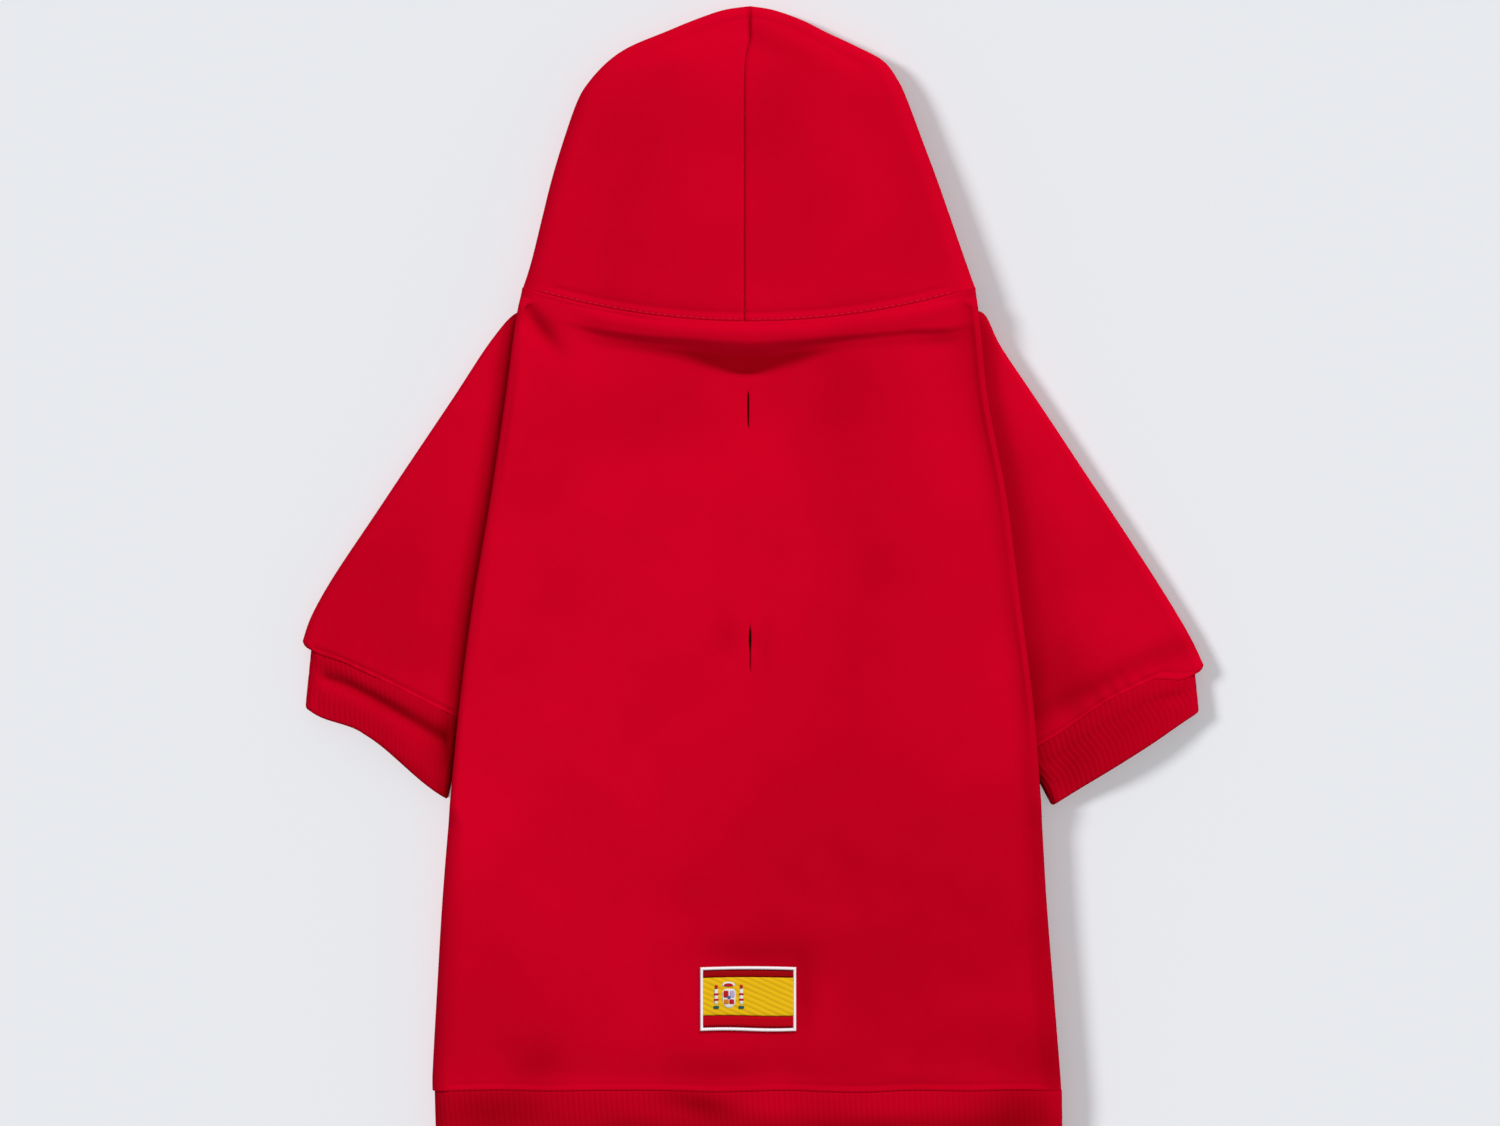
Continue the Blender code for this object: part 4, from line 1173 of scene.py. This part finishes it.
# The small shield under its cap, and the banded posts at its sides. Places and sizes are shares of the
# motif's half width and half height, from its middle, and "layer" says what lies on what.
Motif = namedtuple("Motif", "form across up wide high colour layer")
SHIELD = (
    Motif("dome", 0.00, 0.74, 0.42, 0.26, "white", 0),
    Motif("dome", 0.00, 0.72, 0.32, 0.18, "red", 1),
    Motif("shield", 0.04, -0.12, 0.44, 0.66, "white", 0),
    Motif("plate", -0.15, 0.16, 0.17, 0.26, "red", 1),
    Motif("plate", 0.23, 0.16, 0.17, 0.26, "violet", 1),
    Motif("plate", -0.13, -0.34, 0.17, 0.18, "orange", 1),
    Motif("plate", 0.20, -0.34, 0.17, 0.18, "red", 1),
    Motif("plate", 0.04, -0.06, 0.10, 0.12, "blue", 2),
)
POST = (
    Motif("plate", 0.00, 0.02, 0.12, 0.56, "white", 0),
    Motif("plate", 0.00, 0.64, 0.09, 0.14, "red", 1),
    Motif("plate", 0.00, 0.16, 0.15, 0.08, "red", 1),
    Motif("plate", 0.00, -0.20, 0.15, 0.08, "red", 1),
    Motif("plate", 0.00, -0.70, 0.18, 0.10, "green", 1),
)
POST_PLACES = (-0.76, 0.80)
MOTIFS = SHIELD + tuple(part._replace(across=across) for part in POST for across in POST_PLACES)
MOTIF_POINTS = 28
DOME_FLATNESS = 0.8
DOME_FOOT = 0.35
PLATE_SQUARENESS = 0.45
SHIELD_TAPER = 0.75

# The rounding of each part of the motif, from its foot to its top, and how much higher each layer lies.
# "rise" is in millimetres.
Round = namedtuple("Round", "scale rise")
ROUNDS = (Round(1.0, -0.35), Round(0.92, 0.16), Round(0.70, 0.28), Round(0.0, 0.32))
LAYER_RISE = 0.14

CREST_COLOURS = {
    "white": (0.72, 0.71, 0.66),
    "red": (0.46, 0.012, 0.020),
    "orange": (0.62, 0.19, 0.012),
    "violet": (0.45, 0.36, 0.55),
    "blue": (0.04, 0.14, 0.36),
    "green": (0.012, 0.10, 0.085),
}


def outline(form):
    """A motif's outline, from -1 to 1 both ways, anticlockwise."""
    points = []
    for step in range(MOTIF_POINTS):
        angle = 2 * math.pi * step / MOTIF_POINTS
        x, y = math.cos(angle), math.sin(angle)
        if form == "dome":
            y = abs(y) ** DOME_FLATNESS * (1 if y > 0 else -DOME_FOOT)
        else:
            x = math.copysign(abs(x) ** PLATE_SQUARENESS, x)
            y = math.copysign(abs(y) ** PLATE_SQUARENESS, y)
            if form == "shield" and y < 0:
                x *= math.sqrt(1 - SHIELD_TAPER * y * y)
        points.append((x, y))
    return points


def make_crest(patch, thread_materials):
    """A small quartered shield under a cap, between two banded posts, each part a raised satin form."""
    low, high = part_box("patch_crest")
    middle, half = (low + high) / 2 - patch.middle, (high - low) / 2
    names = list(CREST_COLOURS)
    points, faces, finishes = [], [], []
    for motif in MOTIFS:
        base = len(points)
        shape = outline(motif.form)
        for scale, rise in ROUNDS:
            lift = PATCH_LIFT + (rise + LAYER_RISE * motif.layer) * MM
            for x, y in shape if scale else shape[:1]:
                across = middle.x + (motif.across + motif.wide * x * scale) * half.x
                up = middle.y + (motif.up + motif.high * y * scale) * half.y
                points.append(patch.point(across, up, lift))
        count = len(shape)
        last = base + 2 * count
        faces += loop_faces(base, 3, count)
        faces += [(last + c, last + (c + 1) % count, last + count) for c in range(count)]
        faces.append(tuple(base + c for c in range(count))[::-1])
        finishes += [names.index(motif.colour)] * (len(faces) - len(finishes))
    white = thread_materials[names[0]]
    crest = cloth_object("patch_shield", "patch_crest", points, faces, white)
    for name in names[1:]:
        crest.data.materials.append(thread_materials[name])
    crest.data.polygons.foreach_set("material_index", finishes)


# Shader groups

KNIT_SCALE = 1000.0 / 2
THREAD_SCALE = 1000.0 / 2 / math.pi


def group(name, inputs, outputs):
    """An empty node group with named sockets: (name, type, value) for inputs, (name, type) for outputs."""
    made = bpy.data.node_groups.new(name, "ShaderNodeTree")
    for socket, kind, value in inputs:
        item = made.interface.new_socket(socket, in_out="INPUT", socket_type=f"NodeSocket{kind}")
        item.default_value = value
    for socket, kind in outputs:
        made.interface.new_socket(socket, in_out="OUTPUT", socket_type=f"NodeSocket{kind}")
    return made, made.nodes.new("NodeGroupInput").outputs, made.nodes.new("NodeGroupOutput")


def set_inputs(tree, node, values):
    """Links or sets a node's inputs, by name or number."""
    for key, value in values.items():
        if isinstance(value, bpy.types.NodeSocket):
            tree.links.new(value, node.inputs[key])
        else:
            node.inputs[key].default_value = value


def add_node(tree, kind, values=None, **settings):
    """A node's outputs. The node has its settings, and its inputs are linked or set."""
    node = tree.nodes.new(f"ShaderNode{kind}")
    for name, value in settings.items():
        setattr(node, name, value)
    set_inputs(tree, node, values or {})
    return node.outputs


def maths(tree, operation, *values, clamped=False):
    return add_node(tree, "Math", dict(enumerate(values)), operation=operation, use_clamp=clamped)[0]


def speckle(tree, place, scale, detail, roughness=0.5):
    values = {"Vector": place, "Scale": scale, "Detail": detail, "Roughness": roughness}
    return add_node(tree, "TexNoise", values)["Fac"]


def bands(tree, place, scale, distortion, direction, detail=2.0):
    values = {"Vector": place, "Scale": scale, "Distortion": distortion, "Detail": detail}
    return add_node(tree, "TexWave", values, bands_direction=direction)["Fac"]


def blend(tree, amount, low, high):
    return add_node(tree, "Mix", {0: amount, 6: low, 7: high}, data_type="RGBA")[2]


def knit_group():
    """Fine knitted columns and rows under a brushed nap."""
    inputs = [("Wales", "Float", 0.9), ("Nap", "Float", 0.6)]
    tree, given, out = group("knit_grain", inputs, [("Height", "Float"), ("Mottle", "Float")])
    place = add_node(tree, "TexCoord")["Object"]
    scale = maths(tree, "DIVIDE", KNIT_SCALE, given["Wales"])
    columns = bands(tree, place, scale, 0.6, "X")
    rows = bands(tree, place, scale, 0.9, "Y")
    knit = maths(tree, "MULTIPLY", columns, rows)
    nap = speckle(tree, place, 1400.0, 4.0, 0.7)
    height = add_node(tree, "Mix", {0: given["Nap"], 2: knit, 3: nap})[0]
    set_inputs(tree, out, {"Height": height, "Mottle": speckle(tree, place, 320.0, 5.0, 0.65)})
    return tree


def tone_and_shade_group():
    """Cloth colour that drifts over the garment at random, darkens with the painted shade held in each
    point and speckles with the nap.
    """
    inputs = [
        ("Colour", "Color", (1, 1, 1, 1)),
        ("Deep", "Color", (0.5, 0.5, 0.5, 1)),
        ("Mottle", "Float", 0.5),
        ("Drift", "Float", 0.26),
        ("Speckle", "Float", 0.06),
    ]
    tree, given, out = group("cloth_tone_and_painted_shade", inputs, [("Colour", "Color")])
    place = add_node(tree, "TexCoord")["Object"]
    drift = maths(tree, "MULTIPLY", speckle(tree, place, 28.0, 2.5), given["Drift"])
    # The painted shade from each point's attribute is added to the random drift.
    soft = maths(tree, "ADD", drift, add_node(tree, "Attribute", attribute_name="tone")["Fac"])
    amount = maths(tree, "MULTIPLY_ADD", given["Mottle"], given["Speckle"], soft, clamped=True)
    set_inputs(tree, out, {"Colour": blend(tree, amount, given["Colour"], given["Deep"])})
    return tree


def thread_group():
    """Parallel embroidery threads that lie at an angle, with painted shade in the lines between them."""
    inputs = [
        ("Colour", "Color", (1, 1, 1, 1)),
        ("Gap", "Color", (0.3, 0.3, 0.3, 1)),
        ("Angle", "Float", 0.0),
        ("Pitch", "Float", 0.4),
        ("Depth", "Float", 0.4),
    ]
    tree, given, out = group("satin_threads", inputs, [("Colour", "Color"), ("Height", "Float")])
    place = add_node(tree, "TexCoord")["Object"]
    values = {"Vector": place, "Angle": given["Angle"]}
    turned = add_node(tree, "VectorRotate", values, rotation_type="Z_AXIS")[0]
    scale = maths(tree, "DIVIDE", THREAD_SCALE, given["Pitch"])
    wave = bands(tree, turned, scale, 0.8, "Y", 1.0)
    stretched = add_node(tree, "VectorMath", {0: turned, 1: (120.0, 2200.0, 1.0)}, operation="MULTIPLY")[0]
    fibre = speckle(tree, stretched, 1.0, 2.0)
    sharp = maths(tree, "POWER", maths(tree, "SUBTRACT", 1.0, wave), 3.0)
    amount = maths(tree, "MULTIPLY", maths(tree, "MULTIPLY", sharp, fibre), given["Depth"])
    colour = blend(tree, amount, given["Colour"], given["Gap"])
    set_inputs(tree, out, {"Colour": colour, "Height": wave})
    return tree


# Materials

RED = (0.640, 0.0004, 0.0185)
RIB_RED = (0.545, 0.0004, 0.0150)
# The dark red that random drift and painted shade draw the knit's colour towards.
DRIFT_AND_SHADE_RED = (0.24, 0.0002, 0.0030)
SHEEN_RED = (1.0, 0.02, 0.06)
FLOOR_COLOUR = (0.805, 0.822, 0.855)

# Threads: the colour, the painted shade between them, their angle in degrees, their pitch in millimetres
# and how much of the painted shade shows
Thread = namedtuple("Thread", "colour gap angle pitch depth")
THREADS = {
    "topstitch": Thread((0.74, 0.02, 0.05), (0.5, 0.0, 0.02), 0, 0.45, 0.5),
    "border": Thread((0.93, 0.87, 0.90), (0.62, 0.46, 0.55), 90, 0.5, 0.5),
    # The red stripe's thread, darker as painted shade under the border.
    "dark_red": Thread((0.31, 0.002, 0.004), (0.12, 0.0, 0.002), 0, 0.45, 0.5),
    "yellow": Thread((0.76, 0.45, 0.008), (0.34, 0.19, 0.003), 24, 1.3, 0.8),
    "red": Thread((0.46, 0.001, 0.008), (0.22, 0.0, 0.004), 0, 0.45, 0.5),
}
# The painted shade between each crest thread is a darker copy of its colour.
CREST_GAP_SHADE = 0.5
CREST_THREADS = {
    name: Thread(colour, tuple(CREST_GAP_SHADE * part for part in colour), 90, 0.5, 0.4)
    for name, colour in CREST_COLOURS.items()
}
THREAD_RELIEF = 0.12 * MM


def plain_material(name, roughness, specular, sheen=0.0, sheen_tint=(1, 1, 1)):
    material = bpy.data.materials.new(name)
    material.use_nodes = True
    shader = material.node_tree.nodes["Principled BSDF"]
    set_inputs(material.node_tree, shader, {
        "Roughness": roughness,
        "Specular IOR Level": specular,
        "Sheen Weight": sheen,
        "Sheen Roughness": 0.6,
        "Sheen Tint": (*sheen_tint, 1),
    })
    return material, material.node_tree, shader


def bumped(tree, height, distance, strength):
    values = {"Height": height, "Distance": distance, "Strength": strength}
    return add_node(tree, "Bump", values)["Normal"]


def knit_material(name, groups, colour, nap, relief):
    """Brushed knit: a colour that drifts at random and darkens with painted shade, and a fine grain."""
    material, tree, shader = plain_material(name, 1.0, 0.0, 0.08, SHEEN_RED)
    grain = add_node(tree, "Group", {"Nap": nap}, node_tree=groups["knit"])
    values = {"Colour": (*colour, 1), "Deep": (*DRIFT_AND_SHADE_RED, 1), "Mottle": grain["Mottle"]}
    tone = add_node(tree, "Group", values, node_tree=groups["tone"])
    normal = bumped(tree, grain["Height"], relief, 1.0)
    set_inputs(tree, shader, {"Base Color": tone["Colour"], "Normal": normal})
    return material


def thread_material(name, groups, thread):
    """Satin embroidery thread."""
    material, tree, shader = plain_material(name, 0.6, 0.02)
    threads = add_node(tree, "Group", {
        "Colour": (*thread.colour, 1),
        "Gap": (*thread.gap, 1),
        "Angle": math.radians(thread.angle),
        "Pitch": thread.pitch,
        "Depth": thread.depth,
    }, node_tree=groups["thread"])
    normal = bumped(tree, threads["Height"], THREAD_RELIEF, 0.8)
    set_inputs(tree, shader, {"Base Color": threads["Colour"], "Normal": normal})
    return material


# Floor, light and camera

FLOOR_REACH = 4.0
FLOOR_DROP = 0.2 * MM
CAMERA_PLACE = (0, 13.5 * MM, 3.0)
CAMERA_LENS = 143.3
CAMERA_SENSOR = 36

# Each sun's way down, how wide it is in degrees, its energy, and whether it lights the floor alone
# (INCLUDE) or all but the floor (EXCLUDE).
Sun = namedtuple("Sun", "name x y z wide energy floor")
SUNS = (
    Sun("floor_key", 1.03, -0.28, -0.84, 14, 1.88, "INCLUDE"),
    Sun("floor_fill", 0.0, 0.0, -1.0, 4, 1.22, "INCLUDE"),
    Sun("cloth_key", -0.32, -0.60, -0.70, 24, 2.36, "EXCLUDE"),
    Sun("cloth_fill", 0.0, 0.0, -1.0, 150, 0.85, "EXCLUDE"),
)
WORLD_STRENGTH = 0.24


def make_stage():
    """A plain pale floor under plain soft studio light."""
    mesh = bpy.data.meshes.new("floor")
    corners = [(x * FLOOR_REACH, y * FLOOR_REACH, 0) for x, y in ((-1, -1), (1, -1), (1, 1), (-1, 1))]
    mesh.from_pydata(corners, [], [(0, 1, 2, 3)])
    floor = bpy.data.objects.new("floor", mesh)
    floor.location.z = -FLOOR_DROP
    bpy.context.scene.collection.objects.link(floor)
    material, tree, shader = plain_material("pale_paper", 0.9, 0.0)
    set_inputs(tree, shader, {"Base Color": (*FLOOR_COLOUR, 1)})
    mesh.materials.append(material)

    world = bpy.data.worlds.new("studio")
    bpy.context.scene.world = world
    world.use_nodes = True
    background = world.node_tree.nodes["Background"]
    set_inputs(world.node_tree, background, {"Color": (1.0, 1.0, 1.0, 1), "Strength": WORLD_STRENGTH})
    for light in SUNS:
        sun = bpy.data.lights.new(light.name, "SUN")
        sun.energy = light.energy
        sun.angle = math.radians(light.wide)
        made = bpy.data.objects.new(light.name, sun)
        made.rotation_euler = Vector((light.x, light.y, light.z)).to_track_quat("-Z", "Y").to_euler()
        bpy.context.scene.collection.objects.link(made)
        lit = bpy.data.collections.new(f"{light.name}_lights")
        lit.objects.link(floor)
        made.light_linking.receiver_collection = lit
        lit.collection_objects[0].light_linking.link_state = light.floor


# The record of a cloth piece: the flat size it was cut to, with a tube cut open and laid flat as one
# sheet, its area and what it lies on. No piece is given one here. The patch's two narrow stripes are
# thread alone.
Cloth = namedtuple("Cloth", "piece width length area rests_on")


def make_camera():
    """Straight down, at the photograph's scale of half a millimetre for each pixel."""
    camera = bpy.data.cameras.new("camera")
    camera.sensor_width = CAMERA_SENSOR
    camera.lens = CAMERA_LENS
    camera.clip_end = 20
    made = bpy.data.objects.new("camera", camera)
    made.location = CAMERA_PLACE
    bpy.context.scene.collection.objects.link(made)
    bpy.context.scene.camera = made
    bpy.context.scene.view_settings.view_transform = "Standard"
    bpy.context.scene.view_settings.look = "None"


def main():
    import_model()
    make_camera()
    make_stage()

    groups = {"knit": knit_group(), "tone": tone_and_shade_group(), "thread": thread_group()}
    jersey = knit_material("jersey", groups, RED, 0.75, 0.06 * MM)
    rib = knit_material("rib_knit", groups, RIB_RED, 0.5, 0.10 * MM)
    threads = {name: thread_material(f"{name}_thread", groups, row) for name, row in THREADS.items()}
    crest = {
        name: thread_material(f"crest_{name}_thread", groups, row) for name, row in CREST_THREADS.items()
    }

    make_back(jersey)
    make_belly(jersey)
    make_hem(rib)
    hood_paths = []
    for arm in ARMS:
        grid = make_hood_half(arm, jersey)
        hood_paths.append(grid[2][: len(HOOD_SHARES)])
        make_cuff(arm, rib)
        make_sleeve(arm, jersey)
    stitches("neck_topstitch", hood_paths, threads["topstitch"])

    patch = Patch()
    make_border(patch, threads["border"])
    for name, colour in STRIPE_COLOURS.items():
        make_stripe(patch, name, threads[colour])
    make_crest(patch, crest)


main()
